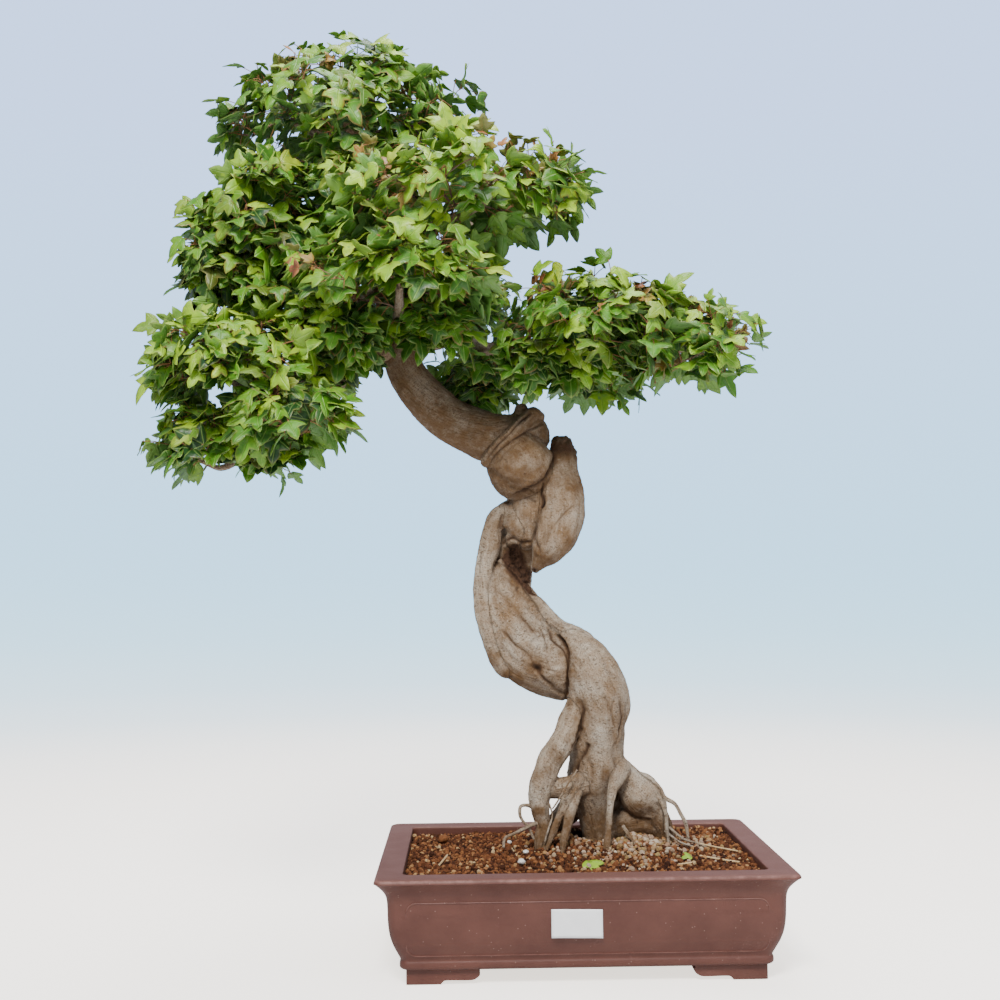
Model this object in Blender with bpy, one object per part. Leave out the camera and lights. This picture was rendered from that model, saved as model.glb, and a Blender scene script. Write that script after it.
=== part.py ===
"""Bonsai tree in a pot: a trained trident maple in a rectangular clay pot.

Everything is modelled about the middle of the pot's foot line (X to the right along the pot, Y to the
back, Z up) and then carried by one empty, which puts the origin under the middle of the whole plant.
"""
import math

import bmesh
import bpy
import numpy as np
from mathutils import Matrix, Vector
from mathutils.noise import noise

GAP = 0.0003                 # clearance kept between pieces that touch

# Pot
RIM_LENGTH = 0.420
RIM_DEPTH = 0.310
RIM_WIDTH = 0.0274
POT_HEIGHT = 0.1085
FOOT_HEIGHT = 0.0145
FLOOR_TOP = 0.0245
OUTER_CORNER = 0.009
INNER_CORNER = 0.008
FOOT_INSET = 0.0305
FOOT_THICKNESS = 0.020
FOOT_LONG = 0.073
FOOT_SHORT = 0.055
FOOT_FLAT = 0.034            # flat sole next to the corner
FOOT_STEP = 0.004            # rise of the cloud-cut part of the foot
DRAIN_RADIUS = 0.016
DRAIN_X = 0.105

# Soil and what lies on it
SOIL_EDGE = 0.0975
MOUND_HEIGHT = 0.0165
MOUND_CENTRE = (0.040, 0.055)
MOUND_SPREAD = (0.085, 0.075)
DRESSING_THICKNESS = 0.0025
DRESSING_CENTRE = (0.045, 0.030)
DRESSING_RADII = (0.078, 0.072)

# Drain screens and their clips
SCREEN_SIDE = 0.050
SCREEN_THICKNESS = 0.0012
SCREEN_CELLS = 9
CLIP_WIRE = 0.0009           # radius

LABEL_SIZE = (0.050, 0.0004, 0.027)
LABEL_CENTRE = (-0.011, 0.062)
LABEL_TURN = 1.0             # degrees

CANOPY_THICKNESS = 0.0025
PLANT_OFFSET = (0.1334, -0.0229, 0.0)

# Outer wall of the pot from the lip down, as (inset from the rim's edge, height)
OUTER_WALL = [
    (0.0000, 0.1040), (0.0016, 0.1028), (0.0065, 0.0975), (0.0103, 0.0920), (0.0121, 0.0860),
    (0.0127, 0.0780), (0.0131, 0.0650), (0.0146, 0.0520), (0.0180, 0.0405), (0.0235, 0.0285),
    (0.0249, 0.0248), (0.0241, 0.0225), (0.0241, 0.0182), (0.0262, 0.0158), (0.0300, FOOT_HEIGHT),
]
# Inner wall from the rim down to the floor
INNER_WALL = [
    (RIM_WIDTH, 0.1065), (RIM_WIDTH, 0.0940), (0.0255, 0.0880), (0.0245, 0.0820), (0.0245, 0.0460),
    (0.0275, 0.0340), (0.0350, 0.0265), (0.0460, FLOOR_TOP),
]

# Limbs of the tree, each a run of (x, y, z, radius)
LIMBS = {
    "stump": [
        (0.036, 0.046, 0.070, 0.022), (0.034, 0.046, 0.098, 0.036), (0.028, 0.046, 0.124, 0.031),
        (0.026, 0.045, 0.151, 0.028), (0.028, 0.045, 0.184, 0.030), (0.030, 0.041, 0.220, 0.031),
        (0.031, 0.039, 0.248, 0.0315), (0.032, 0.038, 0.276, 0.031), (0.027, 0.036, 0.303, 0.027),
    ],
    "crest": [
        (0.030, 0.036, 0.290, 0.026), (0.014, 0.034, 0.320, 0.018), (-0.007, 0.034, 0.340, 0.0135),
        (-0.029, 0.036, 0.358, 0.0105), (-0.044, 0.038, 0.374, 0.009), (-0.056, 0.042, 0.385, 0.007),
    ],
    "arched_root": [
        (0.018, 0.032, 0.276, 0.012), (0.006, 0.025, 0.252, 0.011), (-0.012, 0.021, 0.221, 0.0135),
        (-0.027, 0.018, 0.197, 0.0135), (-0.034, 0.017, 0.177, 0.0145), (-0.040, 0.016, 0.158, 0.0115),
        (-0.037, 0.014, 0.138, 0.0085), (-0.036, 0.012, 0.118, 0.0075), (-0.036, 0.010, 0.096, 0.0060),
    ],
    "root_bridge": [
        (-0.034, 0.018, 0.173, 0.0110), (-0.016, 0.020, 0.167, 0.0090), (0.002, 0.026, 0.171, 0.0095),
        (0.018, 0.034, 0.178, 0.0115),
    ],
    "middle_limb": [
        (0.022, 0.052, 0.262, 0.020), (0.000, 0.062, 0.272, 0.023), (-0.024, 0.060, 0.284, 0.027),
        (-0.050, 0.056, 0.305, 0.031), (-0.065, 0.053, 0.331, 0.033), (-0.073, 0.051, 0.356, 0.031),
        (-0.080, 0.050, 0.380, 0.027), (-0.088, 0.050, 0.400, 0.020),
    ],
    "left_column": [
        (-0.086, 0.050, 0.378, 0.019), (-0.095, 0.050, 0.404, 0.0155), (-0.095, 0.050, 0.432, 0.015),
        (-0.088, 0.049, 0.457, 0.016), (-0.073, 0.045, 0.475, 0.017), (-0.053, 0.040, 0.488, 0.019),
        (-0.036, 0.034, 0.500, 0.019),
    ],
    "belly": [(-0.070, 0.046, 0.462, 0.014), (-0.054, 0.043, 0.460, 0.020), (-0.040, 0.036, 0.466, 0.014)],
    "front_limb": [
        (-0.004, 0.030, 0.566, 0.0075), (-0.004, 0.030, 0.548, 0.0112), (-0.002, 0.025, 0.517, 0.0145),
        (-0.004, 0.022, 0.489, 0.0205), (-0.012, 0.020, 0.463, 0.0250), (-0.025, 0.022, 0.434, 0.0200),
        (-0.036, 0.026, 0.415, 0.0095),
    ],
    "wound_lump": [(-0.052, 0.030, 0.498, 0.022), (-0.056, 0.022, 0.529, 0.0365), (-0.058, 0.028, 0.552, 0.031)],
    "lump_knob": [(-0.052, 0.026, 0.556, 0.020), (-0.051, 0.026, 0.590, 0.0095)],
    "lump_bump": [(-0.044, 0.024, 0.552, 0.018), (-0.033, 0.024, 0.579, 0.0065)],
    "upper_limb": [
        (-0.052, 0.030, 0.545, 0.030), (-0.083, 0.031, 0.558, 0.028), (-0.112, 0.031, 0.568, 0.0262),
        (-0.146, 0.030, 0.587, 0.0240), (-0.173, 0.030, 0.615, 0.0220), (-0.187, 0.030, 0.650, 0.0200),
        (-0.192, 0.030, 0.678, 0.0188), (-0.201, 0.030, 0.716, 0.0165), (-0.216, 0.030, 0.772, 0.0145),
        (-0.231, 0.030, 0.830, 0.0120), (-0.240, 0.030, 0.887, 0.0098), (-0.248, 0.030, 0.940, 0.0070),
        (-0.252, 0.030, 0.972, 0.0048),
    ],
    "front_root_left": [
        (0.010, 0.026, 0.180, 0.010), (-0.002, 0.010, 0.158, 0.0075), (-0.016, 0.000, 0.132, 0.0055),
        (-0.027, -0.006, 0.112, 0.0045), (-0.034, -0.010, 0.098, 0.0035),
    ],
    "front_root_mid": [
        (0.004, 0.016, 0.162, 0.0075), (-0.008, 0.000, 0.134, 0.0050), (-0.014, -0.010, 0.114, 0.0045),
        (-0.016, -0.016, 0.098, 0.0035),
    ],
    "front_root_right": [
        (0.048, 0.022, 0.190, 0.0090), (0.044, 0.010, 0.172, 0.0065), (0.037, 0.002, 0.150, 0.0050),
        (0.034, -0.006, 0.126, 0.0045), (0.032, -0.012, 0.108, 0.0038), (0.031, -0.018, 0.092, 0.0032),
    ],
    "right_root": [
        (0.046, 0.042, 0.196, 0.016), (0.062, 0.042, 0.172, 0.017), (0.076, 0.041, 0.148, 0.0195),
        (0.092, 0.038, 0.134, 0.0170), (0.106, 0.032, 0.118, 0.0115), (0.118, 0.026, 0.098, 0.0075),
    ],
    "right_root_upper": [
        (0.060, 0.046, 0.182, 0.012), (0.082, 0.044, 0.172, 0.0105), (0.099, 0.040, 0.155, 0.0090),
        (0.110, 0.036, 0.135, 0.0065), (0.116, 0.032, 0.110, 0.0050),
    ],
    "back_root_left": [
        (0.010, 0.060, 0.150, 0.018), (-0.012, 0.078, 0.124, 0.0125), (-0.030, 0.090, 0.100, 0.0080),
    ],
    "back_root_right": [
        (0.044, 0.062, 0.150, 0.018), (0.060, 0.084, 0.126, 0.0125), (0.074, 0.098, 0.100, 0.0080),
    ],
    "branch_low_left": [
        (-0.184, 0.028, 0.640, 0.012), (-0.207, 0.020, 0.654, 0.0095), (-0.236, 0.002, 0.644, 0.0075),
        (-0.252, -0.008, 0.624, 0.0070), (-0.270, -0.018, 0.602, 0.0065), (-0.300, -0.024, 0.592, 0.0055),
        (-0.340, -0.026, 0.598, 0.0045), (-0.376, -0.026, 0.620, 0.0035),
    ],
    "branch_droop_left": [
        (-0.270, -0.018, 0.602, 0.0060), (-0.300, -0.024, 0.580, 0.0050), (-0.340, -0.028, 0.548, 0.0045),
        (-0.376, -0.030, 0.522, 0.0038), (-0.400, -0.030, 0.530, 0.0034),
    ],
    "branch_right": [
        (-0.188, 0.030, 0.645, 0.012), (-0.168, 0.028, 0.660, 0.0100), (-0.138, 0.020, 0.668, 0.0090),
        (-0.095, 0.008, 0.656, 0.0080), (-0.045, 0.000, 0.636, 0.0072), (0.010, -0.004, 0.632, 0.0062),
        (0.060, -0.004, 0.630, 0.0055), (0.105, -0.002, 0.622, 0.0048), (0.145, 0.000, 0.640, 0.0036),
    ],
    "branch_right_riser": [(0.000, -0.004, 0.632, 0.0060), (0.016, -0.008, 0.662, 0.0045), (0.022, -0.010, 0.690, 0.0034)],
    "branch_right_back": [
        (-0.020, -0.002, 0.634, 0.0060), (0.006, 0.060, 0.630, 0.0050), (0.028, 0.120, 0.634, 0.0042),
        (0.034, 0.140, 0.652, 0.0034),
    ],
    "branch_under_right": [
        (-0.186, 0.034, 0.625, 0.010), (-0.160, 0.070, 0.618, 0.0070), (-0.118, 0.108, 0.606, 0.0055),
        (-0.100, 0.116, 0.620, 0.0040),
    ],
    "branch_centre_front": [
        (-0.196, 0.026, 0.690, 0.0100), (-0.192, -0.010, 0.690, 0.0070), (-0.186, -0.056, 0.682, 0.0055),
        (-0.184, -0.088, 0.705, 0.0040),
    ],
    "branch_centre_back": [
        (-0.198, 0.034, 0.700, 0.0100), (-0.182, 0.080, 0.698, 0.0070), (-0.156, 0.126, 0.700, 0.0055),
        (-0.142, 0.148, 0.722, 0.0040),
    ],
    "branch_middle_left": [
        (-0.206, 0.030, 0.726, 0.0100), (-0.248, 0.036, 0.712, 0.0070), (-0.300, 0.046, 0.702, 0.0058),
        (-0.342, 0.056, 0.712, 0.0045), (-0.356, 0.058, 0.730, 0.0036),
    ],
    "branch_shelf_right": [
        (-0.214, 0.028, 0.760, 0.0100), (-0.200, -0.010, 0.776, 0.0075), (-0.160, -0.056, 0.776, 0.0062),
        (-0.110, -0.084, 0.786, 0.0050), (-0.080, -0.090, 0.808, 0.0038),
    ],
    "branch_upper_left": [
        (-0.220, 0.030, 0.785, 0.0090), (-0.262, 0.018, 0.788, 0.0065), (-0.310, 0.006, 0.790, 0.0052),
        (-0.346, 0.002, 0.812, 0.0038),
    ],
    "branch_upper_back": [
        (-0.222, 0.032, 0.795, 0.0090), (-0.216, 0.070, 0.800, 0.0065), (-0.206, 0.120, 0.804, 0.0052),
        (-0.200, 0.154, 0.824, 0.0038),
    ],
    "branch_upper_right": [
        (-0.230, 0.032, 0.830, 0.0085), (-0.190, 0.050, 0.826, 0.0060), (-0.120, 0.068, 0.812, 0.0050),
        (-0.056, 0.076, 0.826, 0.0038),
    ],
    "branch_top_left": [
        (-0.238, 0.030, 0.872, 0.0080), (-0.270, 0.022, 0.896, 0.0055), (-0.310, 0.014, 0.916, 0.0040),
    ],
    "branch_top_right": [
        (-0.240, 0.030, 0.884, 0.0078), (-0.212, 0.034, 0.906, 0.0052), (-0.182, 0.038, 0.924, 0.0038),
    ],
}

# Canopies of leaves: name, centre (x, y), base height, radii (x, y), rise, tilt about Y in degrees
CANOPIES = [
    ("apex_leaves", (-0.258, 0.030), 0.892, (0.135, 0.120), 0.124, 0),
    ("upper_left_leaves", (-0.358, 0.000), 0.796, (0.072, 0.100), 0.082, 0),
    ("upper_back_leaves", (-0.226, 0.160), 0.800, (0.104, 0.076), 0.078, 0),
    ("upper_right_leaves", (-0.048, 0.078), 0.812, (0.060, 0.060), 0.062, 0),
    ("right_shelf_leaves", (-0.100, -0.100), 0.786, (0.140, 0.096), 0.096, 0),
    ("middle_left_leaves", (-0.356, 0.060), 0.710, (0.074, 0.094), 0.074, 0),
    ("centre_leaves", (-0.186, -0.096), 0.686, (0.104, 0.096), 0.086, 0),
    ("centre_back_leaves", (-0.140, 0.156), 0.704, (0.106, 0.086), 0.084, 0),
    ("lower_left_leaves", (-0.376, -0.026), 0.602, (0.106, 0.124), 0.094, 0),
    ("left_drooping_leaves", (-0.400, -0.028), 0.506, (0.078, 0.092), 0.072, -12),
    ("left_inner_leaves", (-0.292, -0.126), 0.532, (0.054, 0.060), 0.058, 0),
    ("right_low_leaves", (0.016, -0.030), 0.648, (0.092, 0.112), 0.106, 0),
    ("right_end_leaves", (0.158, -0.004), 0.616, (0.046, 0.100), 0.100, 0),
    ("right_back_leaves", (0.036, 0.144), 0.640, (0.084, 0.054), 0.076, 0),
    ("under_right_leaves", (-0.098, 0.120), 0.604, (0.060, 0.058), 0.060, 0),
]

STRAWS = [  # name, start and end (x, y), radius
    ("straw_1", (0.128, -0.038), (0.166, -0.060), 0.0011),
    ("straw_2", (0.134, 0.014), (0.174, -0.010), 0.0009),
    ("straw_3", (0.100, -0.072), (0.118, -0.064), 0.0010),
    ("straw_4", (-0.150, -0.058), (-0.140, 0.000), 0.0011),
    ("straw_5", (-0.070, 0.010), (-0.062, -0.048), 0.0008),
]

STONES = [  # name, place (x, y), mean radius, material
    ("white_stone_1", (-0.062, -0.058), 0.0042, "pumice"),
    ("white_stone_2", (-0.056, -0.020), 0.0034, "pumice"),
    ("white_stone_3", (-0.072, 0.030), 0.0030, "pumice"),
    ("clay_grain", (-0.146, 0.066), 0.0062, "soil"),
]

MATERIALS = {  # base colour, roughness, metallic
    "clay": ((0.190, 0.078, 0.055), 0.55, 0.0),
    "soil": ((0.130, 0.045, 0.020), 0.95, 0.0),
    "pumice": ((0.560, 0.440, 0.300), 0.95, 0.0),
    "bark": ((0.330, 0.250, 0.180), 0.85, 0.0),
    "leaf": ((0.110, 0.270, 0.040), 0.50, 0.0),
    "straw": ((0.560, 0.400, 0.200), 0.80, 0.0),
    "paper": ((0.850, 0.850, 0.840), 0.60, 0.0),
    "mesh_plastic": ((0.030, 0.060, 0.035), 0.55, 0.0),
    "wire": ((0.450, 0.300, 0.200), 0.40, 1.0),
}


# ---------------------------------------------------------------- helpers

def clear_scene():
    for item in list(bpy.data.objects):
        bpy.data.objects.remove(item, do_unlink=True)


def material(name):
    found = bpy.data.materials.get(name)
    if found:
        return found
    colour, roughness, metallic = MATERIALS[name]
    made = bpy.data.materials.new(name)
    made.use_nodes = True
    shader = made.node_tree.nodes["Principled BSDF"]
    shader.inputs["Base Color"].default_value = (*colour, 1.0)
    shader.inputs["Roughness"].default_value = roughness
    shader.inputs["Metallic"].default_value = metallic
    return made


def add_object(name, data, finish, parent):
    made = bpy.data.objects.new(name, data)
    data.materials.append(material(finish))
    bpy.context.collection.objects.link(made)
    made.parent = parent
    return made


def mesh_object(name, bm, finish, parent, smooth=True):
    bmesh.ops.recalc_face_normals(bm, faces=bm.faces)
    mesh = bpy.data.meshes.new(name)
    bm.to_mesh(mesh)
    bm.free()
    if smooth:
        mesh.shade_smooth()
        mesh.set_sharp_from_angle(angle=math.radians(40))
    return add_object(name, mesh, finish, parent)


def guide(item):
    """Keep an object as a cutter only."""
    item.hide_render = True
    item.display_type = "WIRE"
    return item


def boolean(item, operand, operation):
    step = item.modifiers.new(operation.lower(), "BOOLEAN")
    step.operation = operation
    step.object = operand
    return step


def loft(bm, rings, cap_first=True, cap_last=True):
    """Skin a list of rings that have the same number of points."""
    rows = [[bm.verts.new(point) for point in ring] for ring in rings]
    count = len(rows[0])
    for lower, upper in zip(rows, rows[1:]):
        for k in range(count):
            nxt = (k + 1) % count
            bm.faces.new((lower[k], lower[nxt], upper[nxt], upper[k]))
    if cap_first:
        bm.faces.new(rows[0][::-1])
    if cap_last:
        bm.faces.new(rows[-1])
    return rows


def rounded_ring(half_x, half_y, corner, height, steps=4):
    """Points of a rounded rectangle, anticlockwise; height is a number or a function of x and y."""
    points = []
    for quarter, (sx, sy) in enumerate([(1, 1), (-1, 1), (-1, -1), (1, -1)]):
        for k in range(steps + 1):
            angle = math.radians(90 * (quarter + k / steps))
            x = sx * (half_x - corner) + corner * math.cos(angle)
            y = sy * (half_y - corner) + corner * math.sin(angle)
            z = height(x, y) if callable(height) else height
            points.append(Vector((x, y, z)))
    return points


def inset_ring(inset, height, corner):
    return rounded_ring(RIM_LENGTH / 2 - inset, RIM_DEPTH / 2 - inset, corner, height)


def box(bm, low, high):
    size = Vector(high) - Vector(low)
    middle = (Vector(high) + Vector(low)) / 2
    place = Matrix.Translation(middle) @ Matrix.Diagonal((*size, 1.0))
    bmesh.ops.create_cube(bm, size=1.0, matrix=place)


def curve_through(stations, per_span):
    """Catmull-Rom points through stations of any dimension."""
    pts = np.array(stations, dtype=float)
    ends = np.vstack([2 * pts[0] - pts[1], pts, 2 * pts[-1] - pts[-2]])
    out = []
    for a, b, c, d in zip(ends, ends[1:], ends[2:], ends[3:]):
        for k in range(per_span):
            t = k / per_span
            out.append(0.5 * (2 * b + (c - a) * t + (2 * a - 5 * b + 4 * c - d) * t ** 2
                              + (3 * b - a - 3 * c + d) * t ** 3))
    out.append(pts[-1])
    return out


# ---------------------------------------------------------------- pot

def foot_outline(length):
    """Side view of one leg of a foot from the corner inwards: flat sole, then a cloud-cut step."""
    top = FOOT_HEIGHT + 0.003
    return [
        (0.0, top), (0.0, 0.0), (FOOT_FLAT, 0.0), (FOOT_FLAT + 0.002, FOOT_STEP * 0.7),
        (FOOT_FLAT + 0.006, FOOT_STEP), (length - 0.008, FOOT_STEP * 0.9), (length - 0.003, FOOT_STEP * 1.5),
        (length, FOOT_STEP * 2.4), (length - 0.001, FOOT_HEIGHT - 0.001), (length - 0.001, top),
    ]


def feet(name, length, along_x, parent):
    """The four legs that run along X, or the four that run along Y."""
    bm = bmesh.new()
    corner_x = RIM_LENGTH / 2 - FOOT_INSET
    corner_y = RIM_DEPTH / 2 - FOOT_INSET
    for sx in (-1, 1):
        for sy in (-1, 1):
            near, far = [], []
            for run, z in foot_outline(length):
                if along_x:
                    near.append((sx * (corner_x - run), sy * corner_y, z))
                    far.append((sx * (corner_x - run), sy * (corner_y - FOOT_THICKNESS), z))
                else:
                    near.append((sx * (corner_x - 0.0002), sy * (corner_y - 0.0002 - run), z))
                    far.append((sx * (corner_x - FOOT_THICKNESS), sy * (corner_y - 0.0002 - run), z))
            loft(bm, [near, far])
    return guide(mesh_object(name, bm, "clay", parent, smooth=False))


def drain_cutter(parent):
    bm = bmesh.new()
    for sx in (-1, 1):
        bmesh.ops.create_cone(bm, cap_ends=True, segments=24, radius1=DRAIN_RADIUS, radius2=DRAIN_RADIUS,
                              depth=0.04, matrix=Matrix.Translation((sx * DRAIN_X, 0, FOOT_HEIGHT + 0.005)))
    return guide(mesh_object("drain_cutter", bm, "clay", parent, smooth=False))


def make_pot(parent):
    rim_edge = 0.0045
    rings = [inset_ring(inset, z, OUTER_CORNER) for inset, z in reversed(OUTER_WALL)]
    for turn in (30, 60, 90):
        lift = math.radians(turn)
        rings.append(inset_ring(rim_edge * (1 - math.cos(lift)), OUTER_WALL[0][1] + rim_edge * math.sin(lift),
                                OUTER_CORNER))
    for turn in (0, 30, 60):
        drop = math.radians(turn)
        rings.append(inset_ring(RIM_WIDTH - 0.002 * (1 - math.sin(drop)), POT_HEIGHT - 0.002 * (1 - math.cos(drop)),
                                INNER_CORNER))
    rings += [inset_ring(inset, z, INNER_CORNER) for inset, z in INNER_WALL]
    bm = bmesh.new()
    loft(bm, rings)
    pot = mesh_object("pot", bm, "clay", parent)
    boolean(pot, feet("feet_along", FOOT_LONG, True, parent), "UNION")
    boolean(pot, feet("feet_across", FOOT_SHORT, False, parent), "UNION")
    boolean(pot, drain_cutter(parent), "DIFFERENCE")
    return pot


# ---------------------------------------------------------------- soil and small things

def soil_height(x, y):
    dx = (x - MOUND_CENTRE[0]) / MOUND_SPREAD[0]
    dy = (y - MOUND_CENTRE[1]) / MOUND_SPREAD[1]
    return SOIL_EDGE + MOUND_HEIGHT * math.exp(-(dx * dx + dy * dy) / 2)


def make_soil(parent, root_clearance):
    clear = GAP * 1.4
    sides = [(inset, z) for inset, z in INNER_WALL if z < SOIL_EDGE]
    rings = [inset_ring(inset + clear, z + (GAP if z == FLOOR_TOP else 0.0), INNER_CORNER)
             for inset, z in reversed(sides)]
    half_x = RIM_LENGTH / 2 - RIM_WIDTH - clear
    half_y = RIM_DEPTH / 2 - RIM_WIDTH - clear
    top_rings = 7
    for k in range(top_rings):
        share = 1 - k / top_rings
        ring = []
        for point in rounded_ring(half_x, half_y, INNER_CORNER, 0.0):
            x = MOUND_CENTRE[0] + (point.x - MOUND_CENTRE[0]) * share
            y = MOUND_CENTRE[1] + (point.y - MOUND_CENTRE[1]) * share
            ring.append(Vector((x, y, soil_height(x, y))))
        rings.append(ring)
    bm = bmesh.new()
    loft(bm, rings)
    soil = mesh_object("soil", bm, "soil", parent)
    pockets = bmesh.new()
    reach = SCREEN_SIDE / 2 + 0.001
    for sx in (-1, 1):
        box(pockets, (sx * DRAIN_X - reach, -reach, FLOOR_TOP - 0.005),
            (sx * DRAIN_X + reach, reach, FLOOR_TOP + SCREEN_THICKNESS + 2 * CLIP_WIRE + 0.0015))
    boolean(soil, guide(mesh_object("screen_pockets", pockets, "soil", parent, smooth=False)), "DIFFERENCE")
    boolean(soil, root_clearance, "DIFFERENCE")
    return soil


def make_top_dressing(parent, root_clearance):
    """A thin patch of pale grit round the roots."""
    count = 28
    shares = [0.35, 0.62, 0.82, 0.95, 1.0]
    upper, lower = [], []
    for share in shares:
        low_ring, high_ring = [], []
        for k in range(count):
            angle = 2 * math.pi * k / count
            ragged = 1 + 0.10 * math.sin(3 * angle + 0.6) + 0.05 * math.sin(7 * angle)
            x = DRESSING_CENTRE[0] + DRESSING_RADII[0] * share * ragged * math.cos(angle)
            y = DRESSING_CENTRE[1] + DRESSING_RADII[1] * share * ragged * math.sin(angle)
            base = soil_height(x, y) + 3 * GAP
            taper = 0.35 if share == 1.0 else 1.0
            low_ring.append(Vector((x, y, base)))
            high_ring.append(Vector((x, y, base + DRESSING_THICKNESS * taper)))
        lower.append(low_ring)
        upper.append(high_ring)
    bm = bmesh.new()
    loft(bm, lower + upper[::-1])
    dressing = mesh_object("top_dressing", bm, "pumice", parent)
    boolean(dressing, root_clearance, "DIFFERENCE")
    return dressing


def make_screen(name, centre_x, parent):
    """Square plastic mesh over a drain hole."""
    bm = bmesh.new()
    bmesh.ops.create_grid(bm, x_segments=SCREEN_CELLS, y_segments=SCREEN_CELLS, size=SCREEN_SIDE / 2)
    pitch = SCREEN_SIDE / SCREEN_CELLS
    holes = []
    for face in bm.faces:
        middle = face.calc_center_median()
        column = int((middle.x + SCREEN_SIDE / 2) / pitch)
        row = int((middle.y + SCREEN_SIDE / 2) / pitch)
        if column % 2 and row % 2:
            holes.append(face)
    bmesh.ops.delete(bm, geom=holes, context="FACES")
    screen = mesh_object(name, bm, "mesh_plastic", parent, smooth=False)
    screen.location = (centre_x, 0.0, FLOOR_TOP + GAP)
    solid = screen.modifiers.new("thickness", "SOLIDIFY")
    solid.thickness = SCREEN_THICKNESS
    solid.offset = 1.0
    return screen


def rounded_path(corners, radius, steps=4):
    """A polyline whose inner corners are replaced by short arcs."""
    points = [Vector(corners[0])]
    for before, corner, after in zip(corners, corners[1:], corners[2:]):
        middle = Vector(corner)
        into = (Vector(before) - middle).normalized()
        out = (Vector(after) - middle).normalized()
        start = middle + into * radius
        end = middle + out * radius
        for k in range(steps + 1):
            t = k / steps
            points.append(start * (1 - t) ** 2 + middle * 2 * t * (1 - t) + end * t ** 2)
    points.append(Vector(corners[-1]))
    return points


def wire_object(name, points, radius, finish, parent):
    curve = bpy.data.curves.new(name, "CURVE")
    curve.dimensions = "3D"
    curve.bevel_depth = radius
    curve.bevel_resolution = 2
    curve.use_fill_caps = True
    spline = curve.splines.new("POLY")
    spline.points.add(len(points) - 1)
    for target, point in zip(spline.points, points):
        target.co = (*point, 1.0)
    return add_object(name, curve, finish, parent)


def make_clip(name, centre_x, parent):
    """Bent wire that holds a screen: over two of its cells, down the hole and out under the floor."""
    pitch = SCREEN_SIDE / SCREEN_CELLS
    leg = pitch
    over = FLOOR_TOP + GAP + SCREEN_THICKNESS + GAP + CLIP_WIRE
    under = FOOT_HEIGHT - 2 * GAP - CLIP_WIRE
    reach = DRAIN_RADIUS + 0.008
    corners = [
        (centre_x - reach, pitch, under), (centre_x - leg, pitch, under), (centre_x - leg, pitch, over),
        (centre_x + leg, pitch, over), (centre_x + leg, pitch, under), (centre_x + reach, pitch, under),
    ]
    return wire_object(name, rounded_path(corners, 0.0018), CLIP_WIRE, "wire", parent)


def make_label(parent):
    """Blank adhesive label on the front wall."""
    width, thickness, height = LABEL_SIZE
    bm = bmesh.new()
    outline = rounded_ring(width / 2, height / 2, 0.002, 0.0, steps=3)
    front = [Vector((p.x, -thickness / 2, p.y)) for p in outline]
    back = [Vector((p.x, thickness / 2, p.y)) for p in outline]
    loft(bm, [front, back])
    label = mesh_object("label", bm, "paper", parent, smooth=False)
    wall_inset = 0.0127
    label.location = (LABEL_CENTRE[0], -RIM_DEPTH / 2 + wall_inset - 2 * GAP, LABEL_CENTRE[1])
    label.rotation_euler = (0.0, math.radians(LABEL_TURN), 0.0)
    return label


def resting_height(points, radius):
    """Lowest height at which a thing of this radius clears the soil under all the points."""
    return max(soil_height(x, y) for x, y in points) + radius + 3 * GAP


def make_straw(name, start, end, radius, parent):
    steps = 6
    plan = [(start[0] + (end[0] - start[0]) * k / steps, start[1] + (end[1] - start[1]) * k / steps)
            for k in range(steps + 1)]
    path = [(x, y, soil_height(x, y) + radius + 4 * GAP) for x, y in plan]
    return wire_object(name, path, radius, "straw", parent)


def make_stone(name, place, radius, finish, parent):
    bm = bmesh.new()
    bmesh.ops.create_icosphere(bm, subdivisions=2, radius=radius)
    for vert in bm.verts:
        lump = noise(vert.co * 220 + Vector((place[0] * 90, place[1] * 90, 0)))
        vert.co *= 1 + 0.22 * lump
        vert.co.z *= 0.75
    stone = mesh_object(name, bm, finish, parent)
    around = [(place[0] + radius * math.cos(a), place[1] + radius * math.sin(a)) for a in (0, 1.57, 3.14, 4.71)]
    stone.location = (*place, resting_height(around + [place], radius * 0.95))
    return stone


def leaf_outline(length):
    """Three-lobed maple leaf outline from the stalk, as half widths turned into a closed loop."""
    right = [
        (0.00, 0.00), (0.16, 0.02), (0.30, 0.16), (0.37, 0.40), (0.40, 0.62), (0.28, 0.56), (0.15, 0.50),
        (0.15, 0.70), (0.10, 0.86), (0.00, 1.00),
    ]
    left = [(-x, y) for x, y in right[-2:0:-1]]
    return [(x * length, y * length) for x, y in right + left]


def make_fallen_leaf(name, place, length, turn, parent):
    thickness = 0.0006
    outline = leaf_outline(length)
    lower = [Vector((x, y - length / 2, 0.0)) for x, y in outline]
    upper = [Vector((x, y - length / 2, thickness)) for x, y in outline]
    bm = bmesh.new()
    loft(bm, [lower, upper])
    leaf = mesh_object(name, bm, "leaf", parent, smooth=False)
    spread = [(place[0] + length * 0.6 * math.cos(a), place[1] + length * 0.6 * math.sin(a))
              for a in np.linspace(0, 2 * math.pi, 9)]
    leaf.location = (*place, resting_height(spread, 0.0))
    leaf.rotation_euler = (0.0, 0.0, math.radians(turn))
    return leaf


# ---------------------------------------------------------------- tree

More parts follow.
